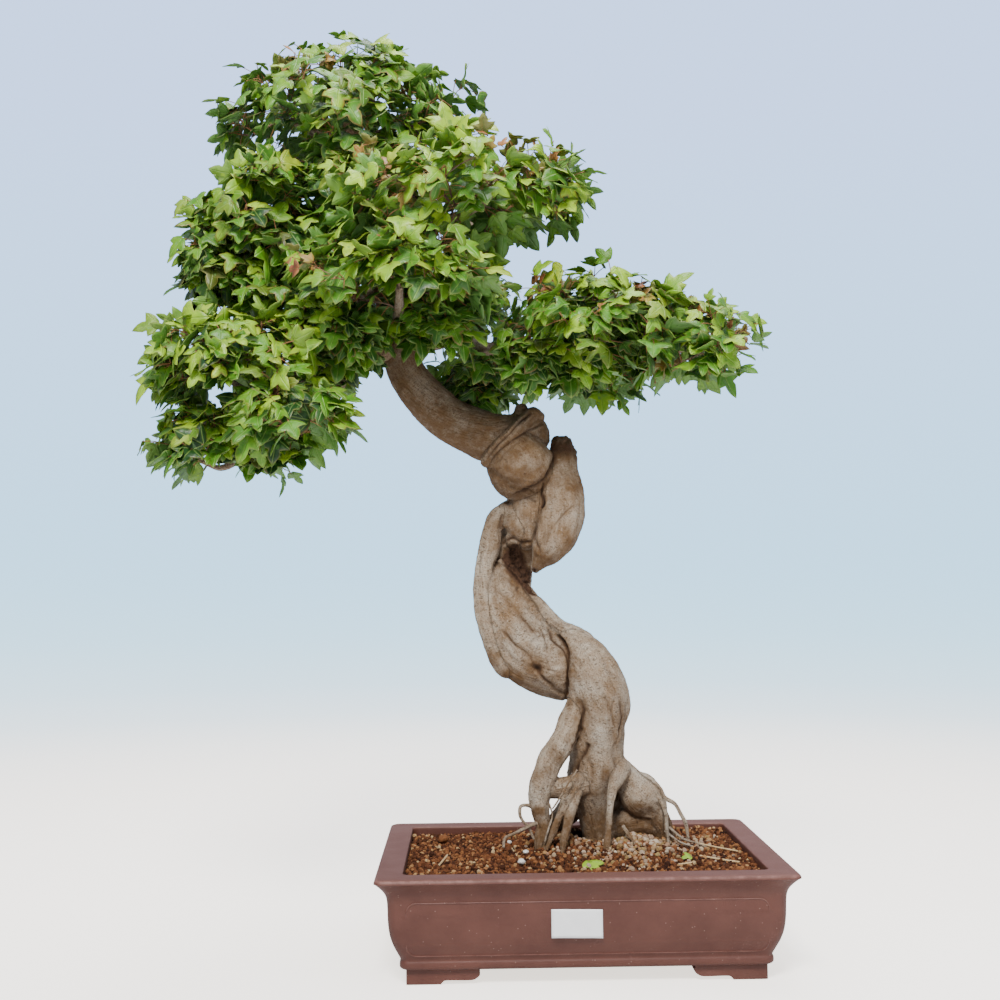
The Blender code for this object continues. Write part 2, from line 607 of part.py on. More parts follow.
def tube(bm, stations, segments=14, per_span=4):
    """Closed tube with round ends through (x, y, z, radius) stations."""
    path = curve_through(stations, per_span)
    centres = [Vector(p[:3]) for p in path]
    radii = [float(p[3]) for p in path]
    tangent = (centres[1] - centres[0]).normalized()
    side = tangent.orthogonal().normalized()
    rings = []
    for k, (centre, radius) in enumerate(zip(centres, radii)):
        ahead = centres[min(k + 1, len(centres) - 1)] - centres[max(k - 1, 0)]
        tangent = ahead.normalized()
        side = (side - tangent * side.dot(tangent)).normalized()
        other = tangent.cross(side)
        ends = []
        if k == 0:
            ends = [(-0.8, 0.6), (-0.45, 0.89)]
        elif k == len(centres) - 1:
            ends = [(0.45, 0.89), (0.8, 0.6)]
        shells = [(0.0, 1.0)]
        shells = ends + shells if k == 0 else shells + ends
        for push, share in shells:
            middle = centre + tangent * (push * radius)
            rings.append([middle + (side * math.cos(a) + other * math.sin(a)) * (radius * share)
                          for a in np.linspace(0, 2 * math.pi, segments, endpoint=False)])
    loft(bm, rings)


def make_trunk(name, parent, clearance=0.0):
    """Roots, limbs and branches fused into one grown piece."""
    bm = bmesh.new()
    for stations in LIMBS.values():
        tube(bm, stations)
    trunk = mesh_object(name, bm, "bark", parent)
    fuse = trunk.modifiers.new("fuse", "REMESH")
    fuse.mode = "VOXEL"
    fuse.voxel_size = 0.0024
    fuse.use_smooth_shade = True
    ease = trunk.modifiers.new("ease", "SMOOTH")
    ease.factor = 0.5
    ease.iterations = 2
    thin = trunk.modifiers.new("thin", "DECIMATE")
    thin.ratio = 0.030
    if clearance:
        swell = trunk.modifiers.new("clearance", "DISPLACE")
        swell.strength = clearance
        swell.mid_level = 0.0
        guide(trunk)
    return trunk


def canopy_radius(angle, seed):
    return (1 + 0.07 * math.sin(3 * angle + seed) + 0.05 * math.sin(5 * angle + 2.1 * seed)
            + 0.03 * math.sin(8 * angle + 0.7 * seed))


def make_canopy(name, centre, base, radii, rise, tilt, seed, parent, branch_clearance):
    """A dome of leaves, open underneath where the bare twigs come in."""
    count = 14
    latitudes = [0.0, 0.38, 0.72, 0.94]

    def dome(shrink, lift):
        rings = []
        for up in latitudes:
            wide = math.sqrt(1 - up * up)
            ring = []
            for k in range(count):
                angle = 2 * math.pi * k / count
                reach = canopy_radius(angle, seed)
                bump = 1 + 0.05 * math.sin(4 * angle + seed + 5 * up)
                ring.append(Vector((
                    (radii[0] - shrink) * wide * reach * math.cos(angle),
                    (radii[1] - shrink) * wide * reach * math.sin(angle),
                    (rise - lift) * up * bump)))
            rings.append(ring)
        return rings

    outer = dome(0.0, 0.0)
    inner = dome(CANOPY_THICKNESS, CANOPY_THICKNESS)
    bm = bmesh.new()
    loft(bm, inner[::-1] + outer)
    leaves = mesh_object(name, bm, "leaf", parent)
    leaves.location = (*centre, base)
    leaves.rotation_euler = (0.0, math.radians(tilt), 0.0)
    boolean(leaves, branch_clearance, "DIFFERENCE")
    return leaves


# ---------------------------------------------------------------- whole plant

def main():
    clear_scene()
    plant = bpy.data.objects.new("plant_frame", None)
    bpy.context.collection.objects.link(plant)
    plant.location = PLANT_OFFSET

    make_pot(plant)
    make_trunk("trunk", plant)
    root_clearance = make_trunk("root_clearance", plant, clearance=0.0005)
    make_soil(plant, root_clearance)
    make_top_dressing(plant, root_clearance)

    for side, centre_x in (("left", -DRAIN_X), ("right", DRAIN_X)):
        make_screen("drain_screen_" + side, centre_x, plant)
        make_clip("screen_clip_" + side, centre_x, plant)
    make_label(plant)

    for number, (name, centre, base, radii, rise, tilt) in enumerate(CANOPIES):
        make_canopy(name, centre, base, radii, rise, tilt, 1.7 * number, plant, root_clearance)
    for name, start, end, radius in STRAWS:
        make_straw(name, start, end, radius, plant)
    for name, place, radius, finish in STONES:
        make_stone(name, place, radius, finish, plant)
    make_fallen_leaf("fallen_leaf", (0.012, -0.075), 0.028, 35, plant)
    make_fallen_leaf("small_leaf", (0.112, -0.052), 0.014, -60, plant)


main()
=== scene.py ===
"""Trained trident maple in a rectangular clay pot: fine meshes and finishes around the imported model.

Shapes are laid out about the middle of the pot's base: X along the pot, Y to the back, Z up, in
metres. The pot's own box then carries them to the model's frame.
"""
import itertools
import logging
import math
from dataclasses import dataclass
from enum import Enum
from typing import Any

import bpy
import numpy as np
from mathutils import Matrix, Vector
from mathutils.bvhtree import BVHTree


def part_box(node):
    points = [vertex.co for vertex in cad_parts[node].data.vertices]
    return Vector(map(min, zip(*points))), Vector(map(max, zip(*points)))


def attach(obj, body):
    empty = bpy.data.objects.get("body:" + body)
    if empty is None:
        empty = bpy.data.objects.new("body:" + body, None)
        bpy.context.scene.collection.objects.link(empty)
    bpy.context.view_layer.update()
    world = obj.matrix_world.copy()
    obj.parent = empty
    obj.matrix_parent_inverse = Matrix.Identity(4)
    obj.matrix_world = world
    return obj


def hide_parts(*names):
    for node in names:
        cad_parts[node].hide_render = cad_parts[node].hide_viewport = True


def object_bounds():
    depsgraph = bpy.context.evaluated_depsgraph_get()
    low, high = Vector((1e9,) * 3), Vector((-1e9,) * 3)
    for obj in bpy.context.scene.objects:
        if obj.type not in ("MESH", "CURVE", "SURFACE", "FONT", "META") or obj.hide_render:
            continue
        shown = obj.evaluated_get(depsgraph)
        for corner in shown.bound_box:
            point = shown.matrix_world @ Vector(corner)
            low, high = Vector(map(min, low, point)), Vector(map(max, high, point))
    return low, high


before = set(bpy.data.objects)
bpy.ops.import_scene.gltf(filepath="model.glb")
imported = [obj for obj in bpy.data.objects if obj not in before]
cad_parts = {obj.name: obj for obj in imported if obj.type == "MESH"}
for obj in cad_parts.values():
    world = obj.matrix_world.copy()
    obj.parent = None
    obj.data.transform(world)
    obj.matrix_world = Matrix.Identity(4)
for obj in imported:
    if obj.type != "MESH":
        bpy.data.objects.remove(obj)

CAD_LOW, CAD_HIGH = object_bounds()
LOG = logging.getLogger("bonsai")
BODY = "root"
UP = np.array((0.0, 0.0, 1.0))
BACK = np.array((0.0, 1.0, 0.0))
COLOUR_A, COLOUR_B, COLOUR_OUT = 6, 7, 2      # sockets of a Mix node that mixes colours

Points = np.ndarray
Random = np.random.Generator
Material = bpy.types.Material
Piece = bpy.types.Object
Socket = bpy.types.NodeSocket
NodeTree = bpy.types.NodeTree
Triple = tuple[float, float, float]
Colour = Triple


def pot_centre() -> Points:
    """Returns the middle of the pot's base in the model's frame."""
    low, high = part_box("pot")
    return np.array(((low.x + high.x) / 2, (low.y + high.y) / 2, low.z))


CENTRE = pot_centre()


def node_box(node: str) -> tuple[Points, Points]:
    """Gives a CAD node's box about the pot's centre."""
    low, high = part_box(node)
    return np.array(low) - CENTRE, np.array(high) - CENTRE


# ---- number helpers


def unit(vectors: Points) -> Points:
    """Scales vectors to length one."""
    return vectors / np.maximum(np.linalg.norm(vectors, axis=-1, keepdims=True), 1e-9)


def full_turn(count: int) -> Points:
    """Returns angles evenly round a full turn."""
    return np.linspace(0, 2 * math.pi, count, endpoint=False)


def through(stations: Any, per_span: int) -> Points:
    """Draws a smooth run through given stations, each a point with any further values.

    Args:
        stations: The stations in order.
        per_span: Steps from one station to the next.

    Returns:
        The points of the run.
    """
    knots = np.array(stations, float)
    knots = np.vstack([2 * knots[0] - knots[1], knots, 2 * knots[-1] - knots[-2]])
    share = np.linspace(0, 1, per_span, endpoint=False)[:, None]
    spans = []
    for a, b, c, d in zip(knots, knots[1:], knots[2:], knots[3:]):
        spans.append(0.5 * (2 * b + (c - a) * share + (2 * a - 5 * b + 4 * c - d) * share**2
                            + (3 * b - a - 3 * c + d) * share**3))
    return np.vstack([*spans, knots[-2]])


def lengths_along(path: Points) -> Points:
    """Returns each point's length along a path."""
    return np.concatenate([[0.0], np.linalg.norm(np.diff(path, axis=0), axis=1).cumsum()])


class Noise:
    """Smooth value noise on a repeating lattice, the same on every run."""

    SIDE = 64

    def __init__(self, seed: int) -> None:
        """Fills the lattice from a seed."""
        self.lattice = np.random.default_rng(seed).uniform(-1, 1, (self.SIDE,) * 3)

    def at(self, points: Points) -> Points:
        """Reads the noise, from -1 to 1.

        Args:
            points: Places in lattice units.

        Returns:
            One value for each place.
        """
        cell = np.floor(points).astype(int)
        share = points - cell
        share = share * share * (3 - 2 * share)
        total = np.zeros(len(points))
        for step in itertools.product((0, 1), repeat=3):
            weight = np.prod(np.where(np.array(step) == 1, share, 1 - share), axis=1)
            x, y, z = ((cell + step) % self.SIDE).T
            total += weight * self.lattice[x, y, z]
        return total

    def layered(self, points: Points, octaves: int) -> Points:
        """Adds octaves of the noise, each twice as fine and half as strong."""
        return sum(self.at(points * 2**k + 9.7 * k) / 2**k for k in range(octaves))


# ---- mesh helpers


@dataclass
class Shell:
    """Points, face corners in one run, and the number of corners of each face."""

    points: Points
    corners: Points
    sizes: Points


def grid_shell(rings: Points, cap_start: bool = True, cap_end: bool = True) -> Shell:
    """Joins closed rings of points with four-sided faces.

    Args:
        rings: Rings in order, with the same number of points in each.
        cap_start: Whether the first ring is filled.
        cap_end: Whether the last ring is filled.

    Returns:
        The shell, whose faces look away from rings that turn anticlockwise about their own run.
    """
    count, around = rings.shape[:2]
    start, step = np.arange(count - 1)[:, None] * around, np.arange(around)[None, :]
    lower, turned = start + step, start + (step + 1) % around
    corners = [np.stack([lower, turned, turned + around, lower + around], axis=-1).reshape(-1)]
    sizes = [4] * ((count - 1) * around) + [around] * (cap_start + cap_end)
    if cap_start:
        corners.append(np.arange(around)[::-1])
    if cap_end:
        corners.append(np.arange(around) + (count - 1) * around)
    return Shell(rings.reshape(-1, 3), np.concatenate(corners), np.array(sizes))


def ring_axes(path: Points, reference: Points | None = None) -> tuple[Points, Points, Points]:
    """Finds the axes of the rings round a path.

    Args:
        path: Points along the middle.
        reference: A direction that every ring's second axis leans to; without it, the axes are
            carried along the path with no twist.

    Returns:
        Tangents, first axes and second axes.
    """
    tangent = unit(np.gradient(path, axis=0))
    if reference is not None:
        first = unit(np.cross(reference, tangent))
        return tangent, first, np.cross(tangent, first)
    first = np.empty_like(path)
    carried = BACK if abs(tangent[0] @ UP) > 0.8 else UP
    for k, along in enumerate(tangent):
        carried = unit(carried - (carried @ along) * along)
        first[k] = carried
    return tangent, first, np.cross(tangent, first)


def tube(path: Points, radii: Points, sides: int, depth_share: float = 1.0,
         reference: Points | None = None) -> Shell:
    """Sweeps round or oval rings along a path.

    Args:
        path: Points along the middle.
        radii: The radius at each point.
        sides: Points in each ring.
        depth_share: Size of the second axis over the first.
        reference: Passed to ring_axes.

    Returns:
        The closed tube.
    """
    _, first, second = ring_axes(path, reference)
    turn = full_turn(sides)[None, :, None]
    spread = np.cos(turn) * first[:, None] + depth_share * np.sin(turn) * second[:, None]
    return grid_shell(path[:, None] + radii[:, None, None] * spread)


def with_round_ends(path: Points, radii: Points) -> tuple[Points, Points]:
    """Adds a dome's rings at both ends of a path.

    Args:
        path: Points along the middle.
        radii: The radius at each point.

    Returns:
        The longer path and its radii.
    """
    lift = np.radians((22.0, 42.0, 62.0, 80.0))[:, None]
    start = path[0] + unit(path[0] - path[1]) * radii[0] * np.sin(lift)
    end = path[-1] + unit(path[-1] - path[-2]) * radii[-1] * np.sin(lift)
    return (np.vstack([start[::-1], path, end]),
            np.concatenate([radii[0] * np.cos(lift[::-1, 0]), radii, radii[-1] * np.cos(lift[:, 0])]))


def in_scene(name: str, data: bpy.types.ID) -> Piece:
    """Puts a new object into the scene."""
    piece = bpy.data.objects.new(name, data)
    bpy.context.scene.collection.objects.link(piece)
    return piece


class Batch:
    """Shells gathered into one mesh, with values kept for each vertex and places for each corner."""

    def __init__(self) -> None:
        """Starts empty."""
        self.points: list[Points] = []
        self.corners: list[Points] = []
        self.sizes: list[Points] = []
        self.values: dict[str, list[Points]] = {}
        self.maps: dict[str, list[Points]] = {}
        self.count = 0

    def add(self, shell: Shell, maps: dict[str, Points] | None = None, **values: Points | float) -> None:
        """Adds one shell.

        Args:
            shell: The shell.
            maps: Places on named UV maps, one for each corner.
            values: A number or a vector for each point, or one number for all of them.
        """
        self.points.append(shell.points)
        self.corners.append(shell.corners + self.count)
        self.sizes.append(shell.sizes)
        self.count += len(shell.points)
        for name, value in values.items():
            filled = np.full(len(shell.points), value) if np.isscalar(value) else value
            self.values.setdefault(name, []).append(filled)
        for name, value in (maps or {}).items():
            self.maps.setdefault(name, []).append(value)

    def add_copies(self, points: Points, template: Shell, maps: dict[str, Points] | None = None,
                   **values: Points) -> None:
        """Adds many copies of one template at once.

        Args:
            points: Placed points, one row of them for each copy.
            template: Its faces are used.
            maps: Places on named UV maps, one row for each copy.
            values: One number for each copy, or one row of them for each copy.
        """
        copies, each = points.shape[:2]
        corners = (template.corners[None, :] + np.arange(copies)[:, None] * each).reshape(-1)
        shell = Shell(points.reshape(-1, 3), corners, np.tile(template.sizes, copies))
        flat = {name: np.repeat(value, each) if value.ndim == 1 else value.ravel()
                for name, value in values.items()}
        self.add(shell, {name: value.reshape(-1, 2) for name, value in (maps or {}).items()}, **flat)

    def build(self, name: str, material: Material, smooth: bool = True) -> Piece:
        """Makes the object in the model's frame.

        Args:
            name: The piece's name.
            material: Its finish.
            smooth: Whether its faces are shaded smooth.

        Returns:
            The new object, linked to the scene.
        """
        mesh = bpy.data.meshes.new(name)
        points = np.concatenate(self.points) + CENTRE
        corners = np.concatenate(self.corners).astype(np.int32)
        sizes = np.concatenate(self.sizes).astype(np.int32)
        mesh.vertices.add(len(points))
        mesh.vertices.foreach_set("co", points.astype(np.float32).ravel())
        mesh.loops.add(len(corners))
        mesh.loops.foreach_set("vertex_index", corners)
        mesh.polygons.add(len(sizes))
        mesh.polygons.foreach_set("loop_start", np.concatenate([[0], np.cumsum(sizes)[:-1]]).astype(np.int32))
        mesh.polygons.foreach_set("use_smooth", np.full(len(sizes), smooth))
        mesh.update(calc_edges=True)
        for label, parts in self.values.items():
            keep_value(mesh, label, np.concatenate(parts))
        for label, parts in self.maps.items():
            layer = mesh.uv_layers.new(name=label)
            layer.data.foreach_set("uv", np.concatenate(parts).astype(np.float32).ravel())
        mesh.materials.append(material)
        return in_scene(name, mesh)


def keep_value(mesh: bpy.types.Mesh, label: str, value: Points) -> None:
    """Keeps a number or a vector for each vertex of a mesh."""
    kind, slot = ("FLOAT", "value") if value.ndim == 1 else ("FLOAT_VECTOR", "vector")
    mesh.attributes.new(label, kind, "POINT").data.foreach_set(slot, value.astype(np.float32).ravel())


def read_vertices(mesh: bpy.types.Mesh, what: str) -> Points:
    """Reads three numbers of each vertex, its place or its normal."""
    found = np.empty(len(mesh.vertices) * 3, np.float32)
    mesh.vertices.foreach_get(what, found)
    return found.reshape(-1, 3).astype(float)


def settled(piece: Piece) -> bpy.types.Mesh:
    """Applies a piece's modifiers.

    Args:
        piece: The piece; its modifiers are removed.

    Returns:
        Its new mesh, already on the piece.
    """
    bpy.context.view_layer.update()
    graph = bpy.context.evaluated_depsgraph_get()
    made = bpy.data.meshes.new_from_object(piece.evaluated_get(graph))
    piece.modifiers.clear()
    piece.data = made
    return made


def install(piece: Piece, slot: str, *nodes: str) -> Piece:
    """Puts a piece on the model: under its body, with the CAD nodes that it stands for hidden, and logs its
    finish slot.

    Args:
        piece: The piece, in place.
        slot: The name of its material slot, for the log.
        nodes: The CAD nodes that it replaces.

    Returns:
        The piece.
    """
    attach(piece, BODY)
    if nodes:
        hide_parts(*nodes)
    LOG.info("%s: %d faces, slot %s", piece.name, len(piece.data.polygons), slot)
    return piece


# ---- shader helpers


class Effect(Enum):
    """The shared effects, each a node group."""

    MOTTLE = "mottle"
    SPECKS = "specks"
    GRAIN = "grain"


class Graph:
    """A node tree being wired, with the shared effects at hand."""

    def __init__(self, tree: NodeTree, effects: dict[Effect, NodeTree] | None = None) -> None:
        """Keeps the tree and the effects, and reads the place on the object in metres."""
        self.tree = tree
        self.effects = effects
        self.place = self.node("TexCoord").outputs["Object"] if effects else None

    def node(self, kind: str, inputs: dict | None = None, **settings: object) -> bpy.types.Node:
        """Adds a node.

        Args:
            kind: Its type's name, without the ShaderNode prefix.
            inputs: Constants or sockets for its inputs, by name or number.
            settings: The node's own properties.

        Returns:
            The node.
        """
        made = self.tree.nodes.new("ShaderNode" + kind)
        for name, value in settings.items():
            setattr(made, name, value)
        for name, value in (inputs or {}).items():
            self.feed(made.inputs[name], value)
        return made

    def feed(self, socket: Socket, value: object) -> None:
        """Links a socket to an input, or sets the input's constant.

        Args:
            socket: The input.
            value: Another node's output, or a constant.
        """
        if isinstance(value, Socket):
            self.tree.links.new(value, socket)
        else:
            is_colour = isinstance(value, tuple) and socket.type == "RGBA"
            socket.default_value = (*value, 1.0) if is_colour else value

    def effect(self, which: Effect, vector: object, **inputs: object) -> Any:
        """Places a shared effect.

        Args:
            which: The effect.
            vector: Where on the surface it is read.
            inputs: Its other inputs by name.

        Returns:
            Its outputs.
        """
        return self.node("Group", {"Vector": vector, **inputs}, node_tree=self.effects[which]).outputs

    def mottle(self, scale: float, contrast: float, dark: Colour, light: Colour) -> Any:
        """Places the shared mottle."""
        return self.effect(Effect.MOTTLE, self.place, Scale=scale, Contrast=contrast, Dark=dark, Light=light)

    def grain(self, vector: Socket, scale: float, fine: float) -> Socket:
        """Places the shared grain and returns its height."""
        return self.effect(Effect.GRAIN, vector, Scale=scale, Fine=fine)["Height"]

    def surface(self, colour: Socket, rough: object, height: object, bump: float, **inputs: object) -> Socket:
        """Wires a Principled surface with a bump.

        Args:
            colour: The base colour.
            rough: The roughness.
            height: The bump's height.
            bump: The bump's distance in metres.
            inputs: Further inputs, with underscores for spaces.

        Returns:
            The shader.
        """
        bumped = self.node("Bump", {"Height": height, "Distance": bump, "Strength": 1.0}).outputs["Normal"]
        further = {name.replace("_", " "): value for name, value in inputs.items()}
        skin = {"Base Color": colour, "Roughness": rough, "Normal": bumped, **further}
        return self.node("BsdfPrincipled", skin).outputs[0]

    def ramp(self, factor: Socket, *colours: Colour, middle: float | None = None) -> Socket:
        """Turns a value from 0 to 1 into a colour.

        Args:
            factor: The value.
            colours: Colours evenly along the ramp.
            middle: Place of the middle colour, when it isn't halfway.

        Returns:
            The colour's socket.
        """
        made = self.node("ValToRGB", {"Fac": factor})
        elements = made.color_ramp.elements
        while len(elements) < len(colours):
            elements.new(0.5)
        for number, (element, colour) in enumerate(zip(elements, colours)):
            element.position = number / (len(colours) - 1)
            element.color = (*colour, 1.0)
        if middle is not None:
            elements[1].position = middle
        return made.outputs["Color"]

    def blend(self, factor: object, first: object, second: object, how: str = "MIX") -> Socket:
        """Mixes two colours."""
        given = {0: factor, COLOUR_A: first, COLOUR_B: second}
        return self.node("Mix", given, data_type="RGBA", blend_type=how).outputs[COLOUR_OUT]

    def coats(self, colour: Socket, *coats: tuple[object, float, Colour]) -> Socket:
        """Lays further colours over a first one.

        Args:
            colour: The colour underneath.
            coats: For each coat where it lies, how thick it is there from 0 to 1, and its colour.

        Returns:
            The colour on top.
        """
        for mask, share, coat in coats:
            colour = self.blend(mask if share == 1.0 else self.times(mask, share), colour, coat)
        return colour

    def sum(self, how: str, first: object, second: object, clamp: bool = False) -> Socket:
        """Does arithmetic on two values."""
        return self.node("Math", {0: first, 1: second}, operation=how, use_clamp=clamp).outputs[0]

    def times(self, first: object, second: object, clamp: bool = False) -> Socket:
        """Multiplies two values."""
        return self.sum("MULTIPLY", first, second, clamp)

    def vector(self, how: str, *given: object, output: str | int = 0) -> Socket:
        """Does arithmetic on vectors."""
        return self.node("VectorMath", dict(enumerate(given)), operation=how).outputs[output]

    def parts(self, vector: Socket) -> Any:
        """Splits a vector into X, Y and Z."""
        return self.node("SeparateXYZ", {"Vector": vector}).outputs

    def stretch(self, value: object, low: float, high: float, to_low: float = 0.0, to_high: float = 1.0,
                ease: str = "LINEAR") -> Socket:
        """Maps one range of values to another, held at its ends."""
        ends = {"From Min": low, "From Max": high, "To Min": to_low, "To Max": to_high}
        return self.node("MapRange", {"Value": value, **ends}, interpolation_type=ease).outputs["Result"]

    def value_of(self, name: str, output: str = "Fac") -> Socket:
        """Reads a value kept on the mesh."""
        return self.node("Attribute", attribute_name=name).outputs[output]

    def noise(self, vector: object, scale: object, detail: float = 3.0, roughness: float = 0.55) -> Socket:
        """Adds noise."""
        given = {"Vector": vector, "Scale": scale, "Detail": detail, "Roughness": roughness}
        return self.node("TexNoise", given).outputs["Fac"]

    def patches(self, vector: object, scale: float, detail: float, roughness: float, low: float,
                high: float) -> Socket:
        """Cuts noise into soft patches."""
        return self.stretch(self.noise(vector, scale, detail, roughness), low, high)


def start_group(name: str, sockets: str) -> tuple[NodeTree, Graph, Any, Any]:
    """Starts a node group.

    Args:
        name: The group's name.
        sockets: Its inputs, a bar and its outputs, each written as Name:Type.

    Returns:
        The group, its graph, the sockets to read and the sockets to feed.
    """
    tree = bpy.data.node_groups.new(name, "ShaderNodeTree")
    for way, part in zip(("INPUT", "OUTPUT"), sockets.split("|")):
        for label, kind in (entry.split(":") for entry in part.split()):
            tree.interface.new_socket(name=label, in_out=way, socket_type="NodeSocket" + kind)
    given = tree.nodes.new("NodeGroupInput").outputs
    return tree, Graph(tree), given, tree.nodes.new("NodeGroupOutput").inputs


def mottle_group() -> NodeTree:
    """Builds soft patches of two colours."""
    sockets = "Vector:Vector Scale:Float Contrast:Float Dark:Color Light:Color | Color:Color Mask:Float"
    tree, graph, given, out = start_group("mottle", sockets)
    centred = graph.sum("SUBTRACT", graph.noise(given["Vector"], given["Scale"], 4.0, 0.6), 0.5)
    mask = graph.sum("ADD", graph.times(centred, given["Contrast"]), 0.5, clamp=True)
    graph.feed(out["Color"], graph.blend(mask, given["Dark"], given["Light"]))
    graph.feed(out["Mask"], mask)
    return tree


def specks_group() -> NodeTree:
    """Builds small round specks scattered on a surface."""
    tree, graph, given, out = start_group("specks", "Vector:Vector Scale:Float Share:Float | Mask:Float")
    cells = graph.node("TexVoronoi", {"Vector": given["Vector"], "Scale": given["Scale"]}).outputs
    near = graph.stretch(cells["Distance"], 0.18, 0.30, 1.0, 0.0)
    pick = graph.node("SeparateColor", {"Color": cells["Color"]}).outputs["Red"]
    graph.feed(out["Mask"], graph.times(near, graph.sum("LESS_THAN", pick, given["Share"])))
    return tree


def grain_group() -> NodeTree:
    """Builds fine height for a bump, in two sizes."""
    tree, graph, given, out = start_group("grain", "Vector:Vector Scale:Float Fine:Float | Height:Float")
    coarse = graph.noise(given["Vector"], given["Scale"], 3.0, 0.55)
    finer = graph.noise(given["Vector"], graph.times(given["Scale"], 5.0), 2.0, 0.6)
    graph.feed(out["Height"], graph.sum("ADD", coarse, graph.times(finer, given["Fine"])))
    return tree


@dataclass(frozen=True)
class Finish:
    """What every finish shares: a name, and one Principled surface with colour, roughness and bump."""

    name: str

    def make(self, effects: dict[Effect, NodeTree]) -> Material:
        """Builds the material.

        Args:
            effects: The shared node groups.

        Returns:
            The material.
        """
        material = bpy.data.materials.new(self.name)
        material.use_nodes = True
        material.node_tree.nodes.clear()
        graph = Graph(material.node_tree, effects)
        shader = self.paint(graph)
        graph.node("OutputMaterial", {"Surface": shader})
        return material


@dataclass(frozen=True)
class Clay(Finish):
    """Unglazed purple-brown clay: mottled, with pale grog specks, scuffs, rubbed edges, and a painted
    highlight in the same pale colour on the top of the lip and along the panel lines.
    """

    dark: Colour = (.072, .021, .013)
    light: Colour = (.108, .035, .022)
    # The pale colour of real scuffs and rubbed edges, also laid on as painted highlight.
    pale_coat: Colour = (.26, .125, .10)
    speck: Colour = (.30, .19, .15)
    # Heights of the band on top of the lip that gets a painted highlight, as lit from above.
    painted_highlight_top: tuple[float, float] = (0.1052, 0.1080)

    def paint(self, graph: Graph) -> Socket:
        """Wires the clay.

        Args:
            graph: The material's graph.

        Returns:
            The shader.
        """
        body = graph.mottle(22.0, 2.0, self.dark, self.light)
        specks = graph.effect(Effect.SPECKS, graph.place, Scale=420.0, Share=0.035)
        scratches = graph.patches(graph.place, 330.0, 2.0, 0.7, 0.52, 0.66)
        scuffs = graph.times(graph.patches(graph.place, 9.0, 5.0, 0.7, 0.60, 0.78), scratches)
        # Real rubbing on the lip's edges, and painted highlight on the panel lines, broken into patches.
        wear = graph.times(graph.value_of("wear"), graph.patches(graph.place, 90.0, 4.0, 0.65, 0.35, 0.62))
        # Painted highlight: the top of the lip is laid with the pale colour, as if lit from above; real
        # rubbed edges join it.
        painted_highlight_top = graph.times(graph.stretch(graph.parts(graph.place)["Z"], *self.painted_highlight_top), 0.36)
        pale_coat = graph.sum("MAXIMUM", graph.times(wear, 0.8), painted_highlight_top)
        colour = graph.coats(body["Color"], (specks["Mask"], 0.45, self.speck), (scuffs, 0.5, self.pale_coat),
                             (pale_coat, 1.0, self.pale_coat))
        rough = graph.stretch(body["Mask"], 0.0, 1.0, 0.62, 0.46)
        grain = graph.grain(graph.place, 420.0, 0.45)
        return graph.surface(colour, rough, grain, 0.00028, Specular_IOR_Level=0.42)


@dataclass(frozen=True)
class Bark(Finish):
    """Grey-tan bark, streaked along each limb, with short crosswise marks, stains, a dark dead stub, and
    painted shade in its creases, in its hollow and under its limbs.
    """

    pale: Colour = (.55, .485, .39)
    tan: Colour = (.250, .155, .082)
    shade: Colour = (.070, .034, .016)
    # Darkest painted shade, deep in the creases.
    crease: Colour = (.030, .016, .009)
    # The cut stub's real dead wood, also laid in the hollow as painted shade.
    dead: Colour = (.070, .034, .018)
    # Brown of real stains, also laid as painted shade under the limbs and in the hollow.
    stain: Colour = (.125, .064, .024)

    def paint(self, graph: Graph) -> Socket:
        """Wires the bark.

        Args:
            graph: The material's graph.

        Returns:
            The shader.
        """
        flow = graph.value_of("flow", "Vector")
        along = graph.vector("MULTIPLY", flow, (1.0, 1.0, 0.16))
        across = graph.vector("MULTIPLY", flow, (0.30, 0.30, 1.0))
        broad = graph.mottle(26.0, 2.4, self.tan, self.pale)
        streak = graph.noise(along, 170.0, 5.0, 0.65)
        marks = graph.effect(Effect.SPECKS, across, Scale=430.0, Share=0.42)["Mask"]
        cover = graph.stretch(graph.noise(graph.place, 120.0, 5.0, 0.7), 0.30, 0.64, 0.60, 1.15)
        hollow = graph.value_of("crease")
        colour = graph.coats(
            broad["Color"],
            (graph.stretch(streak, 0.46, 0.28), 0.55, self.shade),
            (graph.patches(graph.place, 75.0, 6.0, 0.7, 0.50, 0.66), 0.52, self.tan),
            (graph.patches(graph.place, 560.0, 3.0, 0.65, 0.53, 0.62), 0.62, self.shade),
            (graph.patches(graph.place, 480.0, 3.0, 0.65, 0.57, 0.66), 0.50, self.pale),
            (graph.stretch(streak, 0.56, 0.72), 0.45, self.pale),
            (marks, 0.40, self.shade),
            (graph.patches(across, 520.0, 3.0, 0.6, 0.52, 0.68), 0.50, self.tan),
            # Stains, with painted shade under the limbs and about the hollow.
            (graph.times(graph.value_of("stain"), cover, clamp=True), 0.92, self.stain),
            # Painted shade in the creases, darker as they deepen.
            (graph.stretch(hollow, 0.12, 0.55, 0.0, 0.75), 1.0, self.shade),
            (graph.stretch(hollow, 0.45, 1.0, 0.0, 0.92), 1.0, self.crease),
            # Real dead wood on the stub, and painted shade in the hollow.
            (graph.value_of("dead"), 1.0, self.dead))
        grain = graph.grain(along, 420.0, 0.5)
        height = graph.sum("ADD", grain, graph.times(streak, 1.2))
        height = graph.sum("SUBTRACT", height, graph.times(marks, 0.5))
        rough = graph.stretch(streak, 0.3, 0.7, 0.92, 0.74)
        return graph.surface(colour, rough, height, 0.0026, Specular_IOR_Level=0.2)


